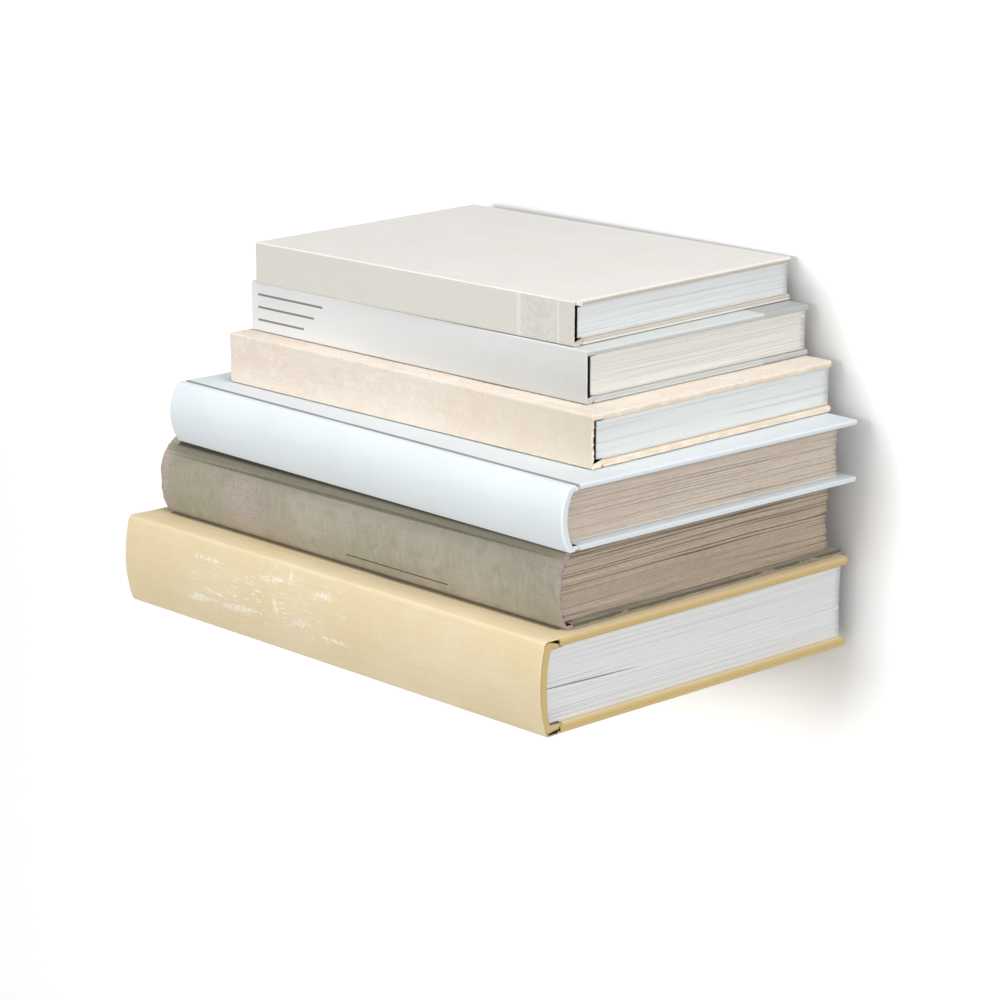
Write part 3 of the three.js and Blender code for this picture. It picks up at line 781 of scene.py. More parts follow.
# %% Leaves
LEAF_ROW = 0.25
LEAF_STEP = 5.0
LEAF_END = 3.0  # band of close rings at the head and tail
LEAF_BACK = 0.5  # width of the last faces at the back
LEAF_KNOT = 30.0  # between the random values along a leaf
LEAF_REST = 0.25  # that the leaves swell towards the endpapers
GATHERING = 5  # rows in a gathering
FLARE_REACH = 1.3
FLARE_DEPTH = 12.0
LEAF_SEED = 100
SEEDS_PER_BOOK = 7
LEAF_LOOKS = {
    "book_1": {"ridge": 0.04, "group": 0.04, "flare": 1.35},
    "book_2": {"ridge": 0.20, "group": 0.28, "flare": 0.25},
    "book_3": {"ridge": 0.16, "group": 0.22, "flare": 0.45},
    "book_4": {"ridge": 0.04, "group": 0.04, "flare": -0.3},
    "book_5": {"ridge": 0.04, "group": 0.04, "flare": 0.0},
    "book_6": {"ridge": 0.04, "group": 0.03, "flare": 0.5},
}


def leaf_offsets(rows, along, seed, look):
    """How far leaves stand out, in rows by places along: random values for each row at each knot, smoothed
    between the knots, plus values shared by the rows of one gathering."""
    draw = np.random.default_rng(seed)
    knots = int(along.max() / LEAF_KNOT) + 3
    fine = draw.normal(0, 1, (rows, knots))
    coarse = np.repeat(draw.normal(0, 1, (rows // GATHERING + 1, knots)), GATHERING, axis=0)[:rows]
    shift = look["ridge"] * fine + look["group"] * coarse
    left = (along / LEAF_KNOT).astype(int)
    part = smooth_step(along / LEAF_KNOT - left, 0, 1)
    return shift[:, left] * (1 - part) + shift[:, left + 1] * part


# %% Pocket for the plate
POCKET_ROOM = 0.3
POCKET_EDGE = 0.2  # half width of the walls of the pocket
POCKET_LIFT = 14.0  # height up to which the leaves give way to the plate


def plate_pocket(book):
    """Room for the bracket's plate in the leaves: its two sides and its depth, from the leaves' own corner,
    and its top, with the plate's corners taken into the book's directions and a little room added."""
    plate = vertices_of("shelf_bracket") @ book["turn"].T - book["origin"]
    low = plate.min(0) - POCKET_ROOM - book["leaves_low"]
    high = plate.max(0) + POCKET_ROOM - book["leaves_low"]
    top = plate[plate[:, 1] > book["width"] / 2, 2].max() + POCKET_ROOM
    pocket = low[0], high[0], high[1], top
    print("pocket for the bracket's plate, mm:", [round(float(v), 2) for v in pocket])
    return pocket


def pocket_stations(places, edges):
    """Places with a close pair at each of the pocket's edges, so that its walls stand upright."""
    pairs = np.concatenate([[edge - POCKET_EDGE, edge + POCKET_EDGE] for edge in edges])
    return np.unique(np.concatenate([places, pairs]))


# %% Block of leaves
def end_outline(book):
    """The end of the CAD leaves, as heights and the places of its fore-edge and back at each of them."""
    end = book["leaves"][book["leaves"][:, 0] < book["leaves_low"][0] + 0.05]
    heights = np.unique(end[:, 2].round(2))
    at_height = [end[np.abs(end[:, 2] - h) < 0.02, 1] for h in heights]
    return heights, np.array([a.min() for a in at_height]), np.array([a.max() for a in at_height])


def leaves_piece(book, material):
    """The block of leaves: a box whose back and fore-edge follow the end of the CAD leaves, with ridged
    sides. At the head and tail the back spreads or draws in by the flare. The bottom book's leaves lift over
    the bracket's plate."""
    name, look = book["name"], LEAF_LOOKS[book["name"]]
    low, high = book["leaves_low"], book["leaves_high"]
    heights, fore, back = end_outline(book)
    length, depth = (high - low)[:2]
    rows = int((high[2] - low[2]) / LEAF_ROW)
    w_at = np.linspace(low[2] - LEAF_REST, high[2] + LEAF_REST, rows + 1)
    s_at = stations(length, LEAF_STEP, LEAF_END, LEAF_END)
    q_at = np.append(stations(depth - LEAF_BACK, LEAF_STEP), depth)
    pocket = plate_pocket(book) if name == "book_1" else None
    if pocket:
        s_at, q_at = pocket_stations(s_at, pocket[:2]), pocket_stations(q_at, pocket[2:3])
    (i, j, k), quads = skin_faces((len(s_at), len(q_at), len(w_at)))
    height = w_at[k]
    near, far = np.interp(height, heights, fore), np.interp(height, heights, back)
    across = near + q_at[j] / depth * (far - near)
    along = low[0] + s_at[i]
    from_end = np.minimum(s_at[i], length - s_at[i])
    flare = look["flare"] * np.exp(-((from_end / FLARE_REACH) ** 2))
    across = across + flare * smooth_step(q_at[j], depth - FLARE_DEPTH, depth)
    if pocket:
        over = (s_at[i] > pocket[0]) & (s_at[i] < pocket[1]) & (q_at[j] < pocket[2])
        share = np.clip((POCKET_LIFT - height) / (POCKET_LIFT - w_at[0]), 0, 1)
        height = height + over * (pocket[3] - w_at[0]) * share
    seed = BOOKS.index(name) * SEEDS_PER_BOOK + LEAF_SEED
    ends, far_ends = (leaf_offsets(rows + 1, q_at, seed + n, look) for n in (0, 1))
    sides, backs = (leaf_offsets(rows + 1, s_at, seed + n, look) for n in (2, 3))
    last_s, last_q = len(s_at) - 1, len(q_at) - 1
    along = along - np.where(i == 0, ends[k, j], 0) + np.where(i == last_s, far_ends[k, j], 0)
    across = across - np.where(j == 0, sides[k, i], 0) + np.where(j == last_q, np.minimum(backs[k, i], 0), 0)
    surface = np.stack([along + across, height], 1)
    values = {"inside": (j == last_q) * smooth_step(from_end, 0.1, 0.6)}
    points = placed(book, along, across, height)
    piece = make_piece(f"{name}_leaves", points, quads, surface, values, material)
    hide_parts(f"{name}_text_block")
    return piece


# %% [markdown]
# A finish is built up in layers, as wear and dirt are on a real book: a base colour, soft clouds of fading
# over it, threads or fibres, then worn edges. Each helper below makes one mask or pattern from texture
# nodes, or lays one colour over another by such a mask. They read the flat map of the piece, which is in
# metres, so that every size can be given in millimetres.

# %% Masks and patterns
class Finish:
    """A material in the making: its node tree, the map of its piece in metres and its colour so far. The
    map is the flat one along the piece and round it, or for a CAD piece, which carries none, Object
    coordinates."""

    def __init__(self, name, colour, flat=True):
        self.material, self.tree, self.output = new_material(name)
        self.colour = linear(colour)
        if flat:
            self.place = add_node(self.tree, "ShaderNodeUVMap", {"uv_map": "surface"}).outputs["UV"]
        else:
            self.place = add_node(self.tree, "ShaderNodeTexCoord").outputs["Object"]


def where(finish, measure, low, high):
    """A mask that rises evenly from 0 at low to 1 at high, which may be the lower. The measure is the way
    along or round the piece in mm, or the name of a value that its mesh carries."""
    if measure in ("along", "round"):
        parts = add_node(finish.tree, "ShaderNodeSeparateXYZ", inputs={0: finish.place})
        value, low, high = parts.outputs[("along", "round").index(measure)], low * MM, high * MM
    else:
        value = add_node(finish.tree, "ShaderNodeAttribute", {"attribute_name": measure}).outputs["Fac"]
    limits = {"Value": value, "From Min": low, "From Max": high}
    return add_node(finish.tree, "ShaderNodeMapRange", inputs=limits).outputs[0]


def clouds(finish, size, low, high, stretch=1.0, seed=0, detail=3.0, place=None):
    """Soft patches about `size` mm across and `stretch` times as long: noise, which counts as 0 below low
    and as 1 above high. Each seed takes another place in the noise. They lie on the finish's own map, or on
    the place given."""
    tree, place = finish.tree, finish.place if place is None else place
    scale = (1 / (size * MM * stretch), 1 / (size * MM), 1 / (size * MM))
    scaled = {"Vector": place, "Location": (seed, seed * 0.7, seed * 0.3), "Scale": scale}
    scaled = add_node(tree, "ShaderNodeMapping", inputs=scaled)
    noise = {"Vector": scaled.outputs[0], "Scale": 1, "Detail": detail}
    noise = add_node(tree, "ShaderNodeTexNoise", inputs=noise)
    edges = {"Value": noise.outputs[0], "From Min": low, "From Max": high}
    return add_node(tree, "ShaderNodeMapRange", {"interpolation_type": "SMOOTHSTEP"}, edges).outputs[0]


def threads(tree, place, spacing):
    """Height of a plain weave from 0 to 1: bands one way and the other, taken in turn by a chequer, so that
    each thread passes over one and under the next. A band is as wide as the spacing, in mm."""
    bands = math.pi / 10 / (spacing * MM)
    warp = add_node(tree, "ShaderNodeTexWave", {"bands_direction": "X"}, {"Vector": place, "Scale": bands})
    weft = add_node(tree, "ShaderNodeTexWave", {"bands_direction": "Y"}, {"Vector": place, "Scale": bands})
    turn = add_node(tree, "ShaderNodeTexChecker", inputs={"Vector": place, "Scale": 1 / (spacing * MM)})
    woven = {0: turn.outputs["Fac"], 2: warp.outputs["Fac"], 3: weft.outputs["Fac"]}
    return add_node(tree, "ShaderNodeMix", {"data_type": "FLOAT"}, woven).outputs[0]


# %% Marks in one place
def stamped(finish, centre, half):
    """1 inside a box of the flat map and 0 outside, with its centre and half sizes in mm."""
    parts = add_node(finish.tree, "ShaderNodeSeparateXYZ", inputs={0: finish.place})
    both = {}
    for axis in (0, 1):
        near = {0: parts.outputs[axis], 1: centre[axis] * MM, 2: half[axis] * MM}
        both[axis] = add_node(finish.tree, "ShaderNodeMath", {"operation": "COMPARE"}, near).outputs[0]
    return add_node(finish.tree, "ShaderNodeMath", {"operation": "MULTIPLY"}, both).outputs[0]


def smudge(finish, centre, half, tilt=0.0):
    """A soft oval spot of the flat map: 1 in its middle and 0 at its edge, turned by `tilt` degrees."""
    moved = {
        "Vector": finish.place,
        "Location": (centre[0] * MM, centre[1] * MM, 0),
        "Rotation": (0, 0, math.radians(tilt)),
        "Scale": (half[0] * MM, half[1] * MM, 1),
    }
    moved = add_node(finish.tree, "ShaderNodeMapping", {"vector_type": "TEXTURE"}, moved)
    spot = {"gradient_type": "SPHERICAL"}
    return add_node(finish.tree, "ShaderNodeTexGradient", spot, {0: moved.outputs[0]}).outputs[1]


def board_sides(finish):
    """The narrow sides of a board: where its wear is strong and its height is below the outer face."""
    both = {0: where(finish, "rim", 0.05, 0.35), 1: where(finish, "edge", 0.5, 0.9)}
    return add_node(finish.tree, "ShaderNodeMath", {"operation": "MULTIPLY"}, both).outputs[0]


# %% Laying the layers
def lay(finish, over, masks, amount=1.0, steps=(0.0, 1.0)):
    """Lays a colour over the finish where every mask is strong, by at most the amount. The product of the
    masks counts as 0 at the first step and 1 at the second."""
    tree = finish.tree
    share, *others = masks if isinstance(masks, tuple) else (masks,)
    for mask in others:
        share = add_node(tree, "ShaderNodeMath", {"operation": "MULTIPLY"}, {0: share, 1: mask}).outputs[0]
    limits = {"Value": share, "From Min": steps[0], "From Max": steps[1], "To Max": amount}
    share = add_node(tree, "ShaderNodeMapRange", inputs=limits)
    both = {0: share.outputs[0], 6: finish.colour, 7: linear(over)}
    finish.colour = add_node(tree, "ShaderNodeMix", {"data_type": "RGBA"}, both).outputs[2]


def worn(finish, reach, size):
    """Wear that eats in from the edges: the mesh's edge value, raised by clouds of `size` mm. A higher reach
    lets it go further in."""
    tree, ragged = finish.tree, clouds(finish, size, 0.3, 0.7, seed=4)
    edge = add_node(tree, "ShaderNodeAttribute", {"attribute_name": "edge"}).outputs["Fac"]
    uneven = add_node(tree, "ShaderNodeMath", {"operation": "MULTIPLY_ADD"}, {0: ragged, 1: 0.5, 2: edge})
    cut = {"Value": uneven.outputs[0], "From Min": 1.0 - reach * 0.5, "From Max": 1.35 - reach * 0.5}
    return add_node(tree, "ShaderNodeMapRange", {"interpolation_type": "SMOOTHSTEP"}, cut).outputs[0]


def paint_hollow_shade(finish, dark="#1b1714"):
    """Painted shade: the dark of a hollow that no light reaches, laid where the mesh marks one."""
    lay(finish, dark, where(finish, "inside", 0, 1))


def finished(finish, relief, depth, shader):
    """The material, once its colour and a relief of `depth` mm are joined to the principled shader, whose
    own values are given."""
    bump = {"Height": relief, "Distance": depth * MM, "Strength": 1.0}
    bump = add_node(finish.tree, "ShaderNodeBump", inputs=bump)
    surface = {"Base Color": finish.colour, "Normal": bump.outputs[0], **shader}
    surface = add_node(finish.tree, "ShaderNodeBsdfPrincipled", inputs=surface)
    finish.tree.links.new(surface.outputs[0], finish.output.inputs["Surface"])
    return finish.material


# %% [markdown]
# Book cloth is plain-woven cotton or linen, starched or coated and glued to paper. The eye gets a matt
# face with a grain of tiny squares, thicker threads here and there as faint streaks both ways, fading in
# soft clouds, and threads that turn pale and fluffy at the edges. Real threads are about 0.5 mm apart,
# which is one pixel here, so they are drawn about twice as coarse.

# %% Book cloth
CLOTH_SHADER = {"Roughness": 0.88, "Sheen Weight": 0.12, "Sheen Roughness": 0.5, "Specular IOR Level": 0.3}
QUARTER_TURN = (0, 0, math.pi / 2)


def woven(finish, faded, gaps, spacing, contrast=0.2):
    """Makes the finish clean book cloth: clouds of fading, the weave with darker gaps, and streaks of
    thicker threads along both directions. Returns the height of the cloth."""
    tree, weave = finish.tree, threads(finish.tree, finish.place, spacing)
    lay(finish, faded, clouds(finish, 38, 0.35, 0.65, seed=1))
    down = add_node(tree, "ShaderNodeMath", {"operation": "SUBTRACT"}, {0: 1.0, 1: weave}).outputs[0]
    lay(finish, gaps, down, contrast)
    turned = {"Vector": finish.place, "Rotation": QUARTER_TURN}
    turned = add_node(tree, "ShaderNodeMapping", inputs=turned).outputs[0]
    lay(finish, gaps, clouds(finish, spacing * 1.2, 0.45, 0.75, 22, seed=2, detail=1), 0.16)
    lay(finish, faded, clouds(finish, spacing * 1.2, 0.45, 0.75, 16, seed=3, detail=1, place=turned), 0.30)
    height = {0: clouds(finish, 0.9, 0.2, 0.8, seed=6), 1: 0.35, 2: weave}
    return add_node(tree, "ShaderNodeMath", {"operation": "MULTIPLY_ADD"}, height).outputs[0]


# %% [markdown]
# The bottom book has a yellow-beige cloth, rubbed to a pale cream on the raised parts of its spine, with
# whitish scuffs, and darker and more golden where the boards' edges have kept their colour. A dark line of
# painted shadow runs along its top face where the book above rests on it.

# %% Yellow-beige cloth
SCUFFS = (  # centre and half size on the cloth's flat map in mm, and tilt in degrees
    ((186, 215), (14, 2.4), 5), ((174, 211), (1.8, 5), 0), ((244, 236), (13, 3.0), 8),
    ((212, 235), (20, 2.4), 4), ((230, 231), (12, 1.2), -6), ((184, 228), (2.2, 6.5), 22),
    ((166, 233), (9, 3.0), 10), ((141, 236), (13, 1.5), 0), ((150, 216), (10, 3.0), 0),
    ((237, 215), (17, 1.3), 0),
)


def yellow_cloth():
    """Worn starched cotton: the eye gets a warm sandy face, golden edges, pale scratches and painted shadow.
    """
    cloth = Finish("book_cloth_yellow_beige_worn", "#e6d4ad")
    height = woven(cloth, "#eadab9", "#cfb98d", 1.0)
    lay(cloth, "#e3cd9d", where(cloth, "round", 206, 200), 0.35)
    # painted shadow: a dark line on the top face where the book above rests on it
    painted_shadow_line = where(cloth, "round", 189.5, 188.0), stamped(cloth, (151, 188), (141, 3))
    lay(cloth, "#6b5230", painted_shadow_line, 0.75)
    near_edge = where(cloth, "edge", 0.6, 0.95), where(cloth, "round", 198, 196)
    lay(cloth, "#c9b07a", near_edge, 0.8)
    for gold in board_sides(cloth), where(cloth, "turned", 0, 1):
        lay(cloth, "#c6ac74", gold, 0.9)
    scratches = clouds(cloth, 1.2, 0.60, 0.69, stretch=4, seed=8, detail=4)
    rubbed = scratches, smudge(cloth, (190, 226), (85, 24), 3)
    lay(cloth, "#f8f1e3", rubbed, 0.75, (0.08, 0.5))
    rubs = clouds(cloth, 1.8, 0.36, 0.58, seed=9)
    for scuff in SCUFFS:
        mark = smudge(cloth, *scuff), rubs
        lay(cloth, "#f8f1e3", mark, 0.75, (0.08, 0.5))
    paint_hollow_shade(cloth)
    return finished(cloth, height, 0.08, CLOTH_SHADER)


# %% [markdown]
# The second book is the most worn. Its grey-green cloth has faded unevenly and turned pinkish where it is
# rubbed, and its head and tail are frayed to a pinkish purple. Along the top of its spine, painted shade
# stands for a crease and for the shadow of the book above, with a dark line where that book rests. One thin
# black rule is stamped on the spine.

# %% Grey-green cloth
PINK_PATCHES = (((225, 207), (20, 25), -12), ((289, 203), (11, 24), 0))  # given as the scuffs are
STAMPED_RULE = ((112.0, 219.0), (36.0, 0.35))
# middle, half size and tilt of a dark line of painted shade along a crease
CREASE_SHADE = ((150, 192.1), (152, 1.1), 0.4)


def green_cloth():
    """Old dyed cotton: the eye gets a dusty grey-green with fine upright streaks and pink bare patches, and
    painted shade and shadow along the top of the spine.
    """
    cloth = Finish("book_cloth_grey_green_faded", "#aaa392")
    height = woven(cloth, "#b9b1a1", "#857e6a", 1.0)
    lay(cloth, "#9fa18a", clouds(cloth, 60, 0.45, 0.7, seed=12), 0.6)
    turned = {"Vector": cloth.place, "Rotation": QUARTER_TURN}
    turned = add_node(cloth.tree, "ShaderNodeMapping", inputs=turned).outputs[0]
    lay(cloth, "#c2bcb0", clouds(cloth, 1.4, 0.5, 0.72, stretch=7, seed=13, place=turned), 0.4)
    lay(cloth, "#8f8b78", clouds(cloth, 7, 0.5, 0.7, seed=16), 0.35)
    specks = clouds(cloth, 1.3, 0.35, 0.7, seed=14)
    for patch in PINK_PATCHES:
        rubbed = smudge(cloth, *patch), specks
        lay(cloth, "#c6adaf", rubbed, 0.6, (0.0, 0.5))
    lay(cloth, "#b3a27f", (smudge(cloth, (215, 225), (60, 7)), specks), 0.6)
    # painted shade: a soft darker band along the top of the spine, under the book above
    lay(cloth, "#8c8b76", stamped(cloth, (145, 189.3), (143, 2.4)), 0.55)
    # painted shade along a crease at the top of the spine
    crease_shade = smudge(cloth, *CREASE_SHADE), clouds(cloth, 14, 0.05, 0.45, seed=17)
    lay(cloth, "#54533f", crease_shade, 0.6, (0.0, 0.4))
    # painted shadow: a dark line where the book above rests on the spine
    painted_shadow_line = where(cloth, "round", 188.4, 186.8), where(cloth, "round", 183.5, 184.5)
    lay(cloth, "#25211b", (*painted_shadow_line, stamped(cloth, (143, 190), (140, 20))), 0.85)
    lay(cloth, "#27231d", stamped(cloth, *STAMPED_RULE), 0.9)
    # partly the darker cloth of the boards' sides, partly painted shade
    lay(cloth, "#5c5040", board_sides(cloth), 0.9)
    frayed = worn(cloth, 0.2, 2.2)
    lay(cloth, "#a3958a", (frayed, clouds(cloth, 11, 0.56, 0.60, seed=15)), 0.7)
    lay(cloth, "#a9919a", (frayed, where(cloth, "round", 185, 186)), 0.8)
    paint_hollow_shade(cloth)
    return finished(cloth, height, 0.12, CLOTH_SHADER)


# %% [markdown]
# The third book is covered in smooth coated paper of a cold bluish white. It takes a soft wide highlight,
# is a little yellowed in clouds, and has a thin grey line of painted shade in the groove of its joint. Its
# top face is painted a little darker, as shade of the book above.

# %% Blue-white coated paper
def white_paper_cover():
    """Coated paper over board: the eye gets an even, faintly glossy bluish white with rubbed edges."""
    paper = Finish("coated_paper_blue_white", "#e0e7eb")
    fibres = clouds(paper, 1.2, 0.3, 0.7, seed=21)
    lay(paper, "#dce3e8", clouds(paper, 50, 0.35, 0.65, seed=22))
    lay(paper, "#e8ecec", fibres, 0.2)
    # painted shade: the top face, under the book above, a little darker than the spine
    lay(paper, "#d3dade", where(paper, "round", 185.6, 185.0), 0.55)
    # painted shade: a thin grey line in the groove of the joint
    lay(paper, "#85858b", stamped(paper, (145, 184.6), (170, 0.75)), 0.85)
    lay(paper, "#cdd5d9", board_sides(paper), 0.8)
    shader = {"Roughness": 0.5, "Specular IOR Level": 0.22}
    paint_hollow_shade(paper)
    return finished(paper, fibres, 0.012, shader)


# %% [markdown]
# The fourth book is in cream cloth, mottled with pale and peach patches from damp. It has frayed nearly
# white at its corners and along the edges of the spine.

# %% Cream cloth
def cream_cloth():
    """Undyed cotton: the eye gets a soft peach-cream with blotches, and white frayed corners."""
    cloth = Finish("book_cloth_cream_mottled", "#efe2d4")
    height = woven(cloth, "#f1e7d9", "#d8c6b0", 1.0)
    lay(cloth, "#ead5c4", clouds(cloth, 13, 0.45, 0.66, seed=31), 0.5)
    lay(cloth, "#f4ede2", clouds(cloth, 5, 0.54, 0.68, seed=32), 0.5)
    shaded = where(cloth, "along", 120, 0), where(cloth, "round", 166.4, 166.6)
    lay(cloth, "#dccfbb", shaded, 0.75)
    lay(cloth, "#d8c6ae", clouds(cloth, 2.4, 0.62, 0.74, seed=33), 0.5)
    lay(cloth, "#e6d2b9", board_sides(cloth), 0.8)
    frayed = worn(cloth, 0.35, 2.0), clouds(cloth, 9, 0.48, 0.62, seed=34)
    lay(cloth, "#f4ece0", frayed, 0.6)
    paint_hollow_shade(cloth)
    return finished(cloth, height, 0.14, CLOTH_SHADER)


# %% [markdown]
# The fifth book has a smooth light grey paper jacket. Three plain grey rules stand on its spine at the
# left, and at the right a row of lozenges is stamped blind, which means pressed in without colour, and
# laid a little lighter. The boards' faces are painted darker as shade of the book above, darker still in a
# band next to the fore-edge, and the whole cover grows darker towards its right end.

# %% Light grey paper
PRINTED_RULES = ((159.9, 180.5), (166.3, 187.0), (172.7, 194.5))  # height and right end
RULES_START = 229
LOZENGE_BEAT = 4.0
LOZENGE_SIZE = 3.2
LOZENGE_LINE = 0.45
LOZENGE_ROW = ((45, 166.3), (32, 4.2))


def grey_paper_cover():
    """Uncoated art paper: the eye gets a cool light grey with a soft sheen, printed rules and blind
    stamping. A lozenge is where the ways along and up from its middle add up to its size."""
    paper = Finish("art_paper_light_grey", "#e6e7e7")
    parts = add_node(paper.tree, "ShaderNodeSeparateXYZ", inputs={0: paper.place})
    fibres = clouds(paper, 1.0, 0.3, 0.7, seed=41)
    lay(paper, "#e2e4e4", clouds(paper, 60, 0.35, 0.65, seed=42))
    # darker towards the right end
    right = where(paper, "along", 190, 0)
    lay(paper, "#cfd0ce", right, 0.75)
    lay(paper, "#bcbcb8", (where(paper, "round", 158, 179), right), 0.8)
    # painted shade: the boards' faces darker under the book above, and a band by the fore-edge darker still
    lay(paper, "#ced2d1", where(paper, "round", 151.5, 149.5))
    lay(paper, "#aeb0b0", where(paper, "round", 33.2, 32.8))
    lay(paper, "#b9bbba", board_sides(paper), 0.85)
    for height, end in PRINTED_RULES:
        bar = stamped(paper, ((RULES_START + end) / 2, height), ((RULES_START - end) / 2, 0.55))
        lay(paper, "#74756f", bar, 0.9)
    row = stamped(paper, *LOZENGE_ROW)
    beat = {0: parts.outputs[0], 1: LOZENGE_BEAT * MM}
    beat = add_node(paper.tree, "ShaderNodeMath", {"operation": "PINGPONG"}, beat).outputs[0]
    rise = {0: parts.outputs[1], 1: LOZENGE_ROW[0][1] * MM}
    rise = add_node(paper.tree, "ShaderNodeMath", {"operation": "SUBTRACT"}, rise).outputs[0]
    rise = add_node(paper.tree, "ShaderNodeMath", {"operation": "ABSOLUTE"}, {0: rise}).outputs[0]
    way = add_node(paper.tree, "ShaderNodeMath", {"operation": "ADD"}, {0: beat, 1: rise}).outputs[0]
    ring = {0: way, 1: LOZENGE_SIZE * MM, 2: LOZENGE_LINE * MM}
    ring = add_node(paper.tree, "ShaderNodeMath", {"operation": "COMPARE"}, ring).outputs[0]
    pressed = add_node(paper.tree, "ShaderNodeMath", {"operation": "MULTIPLY"}, {0: ring, 1: row}).outputs[0]
    height = {0: pressed, 1: -6.0, 2: fibres}
    height = add_node(paper.tree, "ShaderNodeMath", {"operation": "MULTIPLY_ADD"}, height).outputs[0]
    # the pressed lines of the lozenges are laid a little lighter
    lay(paper, "#eeefee", pressed, 0.22)
    shader = {"Roughness": 0.55, "Specular IOR Level": 0.22}
    paint_hollow_shade(paper)
    return finished(paper, height, 0.02, shader)


# %% [markdown]
# The top book is in off-white linen, the coarsest weave of the six. Its threads show along the boards'
# edges as a row of tiny beads, with painted shadow between them. Its spine is painted a little darker than
# its top, as shade. Near the right end of the spine two pale stripes, left by labels, frame a stained
# panel, and a long faint creased line across the cover is painted as a line of shade.

# %% Off-white linen
LABEL_STRIPES = ((34.9, 1.3), (10.0, 0.6))  # middle and half width
BEAD_SIZE = 0.7


def linen_cloth():
    """Off-white linen: the eye gets a greyish warm white with beaded edges, pale stripes and a creased line,
    and painted shade on the spine, between the beads and along the creased line.
    """
    cloth = Finish("book_linen_off_white", "#e8e5df")
    height = woven(cloth, "#ebe8e3", "#cfc9be", 0.9, 0.08)
    # painted shade: the spine a little darker than the top
    lay(cloth, "#d3d0c8", where(cloth, "round", 154.4, 154.6), 0.85)
    stain = stamped(cloth, (22, 166), (11.5, 11.3)), clouds(cloth, 3.2, 0.42, 0.6, seed=51)
    lay(cloth, "#c9c6c2", stain, 0.55)
    lay(cloth, "#cfcac2", stamped(cloth, (4.7, 166), (4.6, 11.3)), 0.35)
    for middle, half in LABEL_STRIPES:
        lay(cloth, "#dfddd7", stamped(cloth, (middle, 166), (half, 11.4)), 0.9)
    # painted shade along a creased line across the cover
    crease_shade = stamped(cloth, (36.0, 70), (0.35, 60)), clouds(cloth, 30, 0.3, 0.55, seed=52)
    lay(cloth, "#d3cdc2", crease_shade, 0.7)
    lay(cloth, "#cfc6b8", board_sides(cloth), 0.75)
    parts = add_node(cloth.tree, "ShaderNodeSeparateXYZ", inputs={0: cloth.place})
    beads = {0: parts.outputs[1], 1: BEAD_SIZE * MM}
    beads = add_node(cloth.tree, "ShaderNodeMath", {"operation": "PINGPONG"}, beads).outputs[0]
    beads = {"Value": beads, "From Min": 0.25 * MM, "From Max": 0.5 * MM}
    beads = add_node(cloth.tree, "ShaderNodeMapRange", inputs=beads)
    # painted shadow: dark dots between the thread beads along the boards' edges
    bead_shadows = where(cloth, "rim", 0.25, 0.6), where(cloth, "edge", 0, 1), beads.outputs[0]
    lay(cloth, "#8f8272", bead_shadows, 0.75)
    paint_hollow_shade(cloth)
    return finished(cloth, height, 0.05, CLOTH_SHADER)


# %% [markdown]
# The cut edges of leaves are hundreds of fine parallel lines. The tone of a line changes slowly along it,
# whole gatherings differ a little from their neighbours, and a few lines gape and are dark. New paper is a
# cool even white. Old paper is browner and rougher, with many dark lines.

# %% Cut paper edges
def leaf_edges(name, sheet, shade, dark, grain, lines, seed, streak=None):
    """Cut edges of book paper: the eye gets stacked fine lines, in soft tones for new and brown for old.
    Sheet, shade and dark are colours. Grain is the strength of short fibres, lines that of dark lines, and
    streak the middle, half size and tilt of one gaping place, which is painted dark as its shade."""
    leaves = Finish(name, sheet)
    wander = clouds(leaves, 90, 0.2, 0.8, seed=seed, detail=1)
    shift = {0: wander, 1: 0.7 * MM}
    shift = add_node(leaves.tree, "ShaderNodeMath", {"operation": "MULTIPLY"}, shift).outputs[0]
    shift = add_node(leaves.tree, "ShaderNodeCombineXYZ", inputs={1: shift}).outputs[0]
    bent = {0: leaves.place, 1: shift}
    bent = add_node(leaves.tree, "ShaderNodeVectorMath", {"operation": "ADD"}, bent).outputs[0]
    sheets = clouds(leaves, 0.8, 0.3, 0.7, 140, seed + 2, 1, bent)
    thin = clouds(leaves, 0.6, 0.62, 0.72, 260, seed + 3, 0, bent)
    lay(leaves, shade, clouds(leaves, 0.5, 0.3, 0.7, 7, seed + 1, 2, bent), grain)
    lay(leaves, shade, sheets, grain)
    lay(leaves, shade, clouds(leaves, 5.0, 0.35, 0.65, 60, seed + 4, 1, bent), grain * 0.8)
    lay(leaves, dark, thin, lines)
    if streak:
        # painted shade of a gap between the leaves
        lay(leaves, "#55585a", smudge(leaves, *streak), 0.8, (0.0, 0.35))
    paint_hollow_shade(leaves, "#2a231d")
    raised = {0: sheets, 1: thin}
    raised = add_node(leaves.tree, "ShaderNodeMath", {"operation": "SUBTRACT"}, raised).outputs[0]
    return finished(leaves, raised, 0.05, {"Roughness": 0.92, "Specular IOR Level": 0.25})


# %% [markdown]
# What is hidden gets its real finish too: the bracket is powder-coated steel, which has a satin face with
# a very fine orange peel, and the screws are zinc-plated. The endpapers are plain wove paper, and the
# lining on the backs of the leaves is an open gauze stiffened with glue. Their patterns use Object
# coordinates.

# %% Hidden finishes
def powder_coat():
    """Satin white powder coat on steel: the eye gets soft highlights broken by a fine orange peel."""
    coat = Finish("powder_coat_white_satin", "#efefed", flat=False)
    peel = clouds(coat, 0.9, 0.2, 0.8, seed=61, detail=1)
    lay(coat, "#e9e9e6", clouds(coat, 30, 0.4, 0.6, seed=62), 0.5)
    return finished(coat, peel, 0.02, {"Roughness": 0.38, "Specular IOR Level": 0.5})


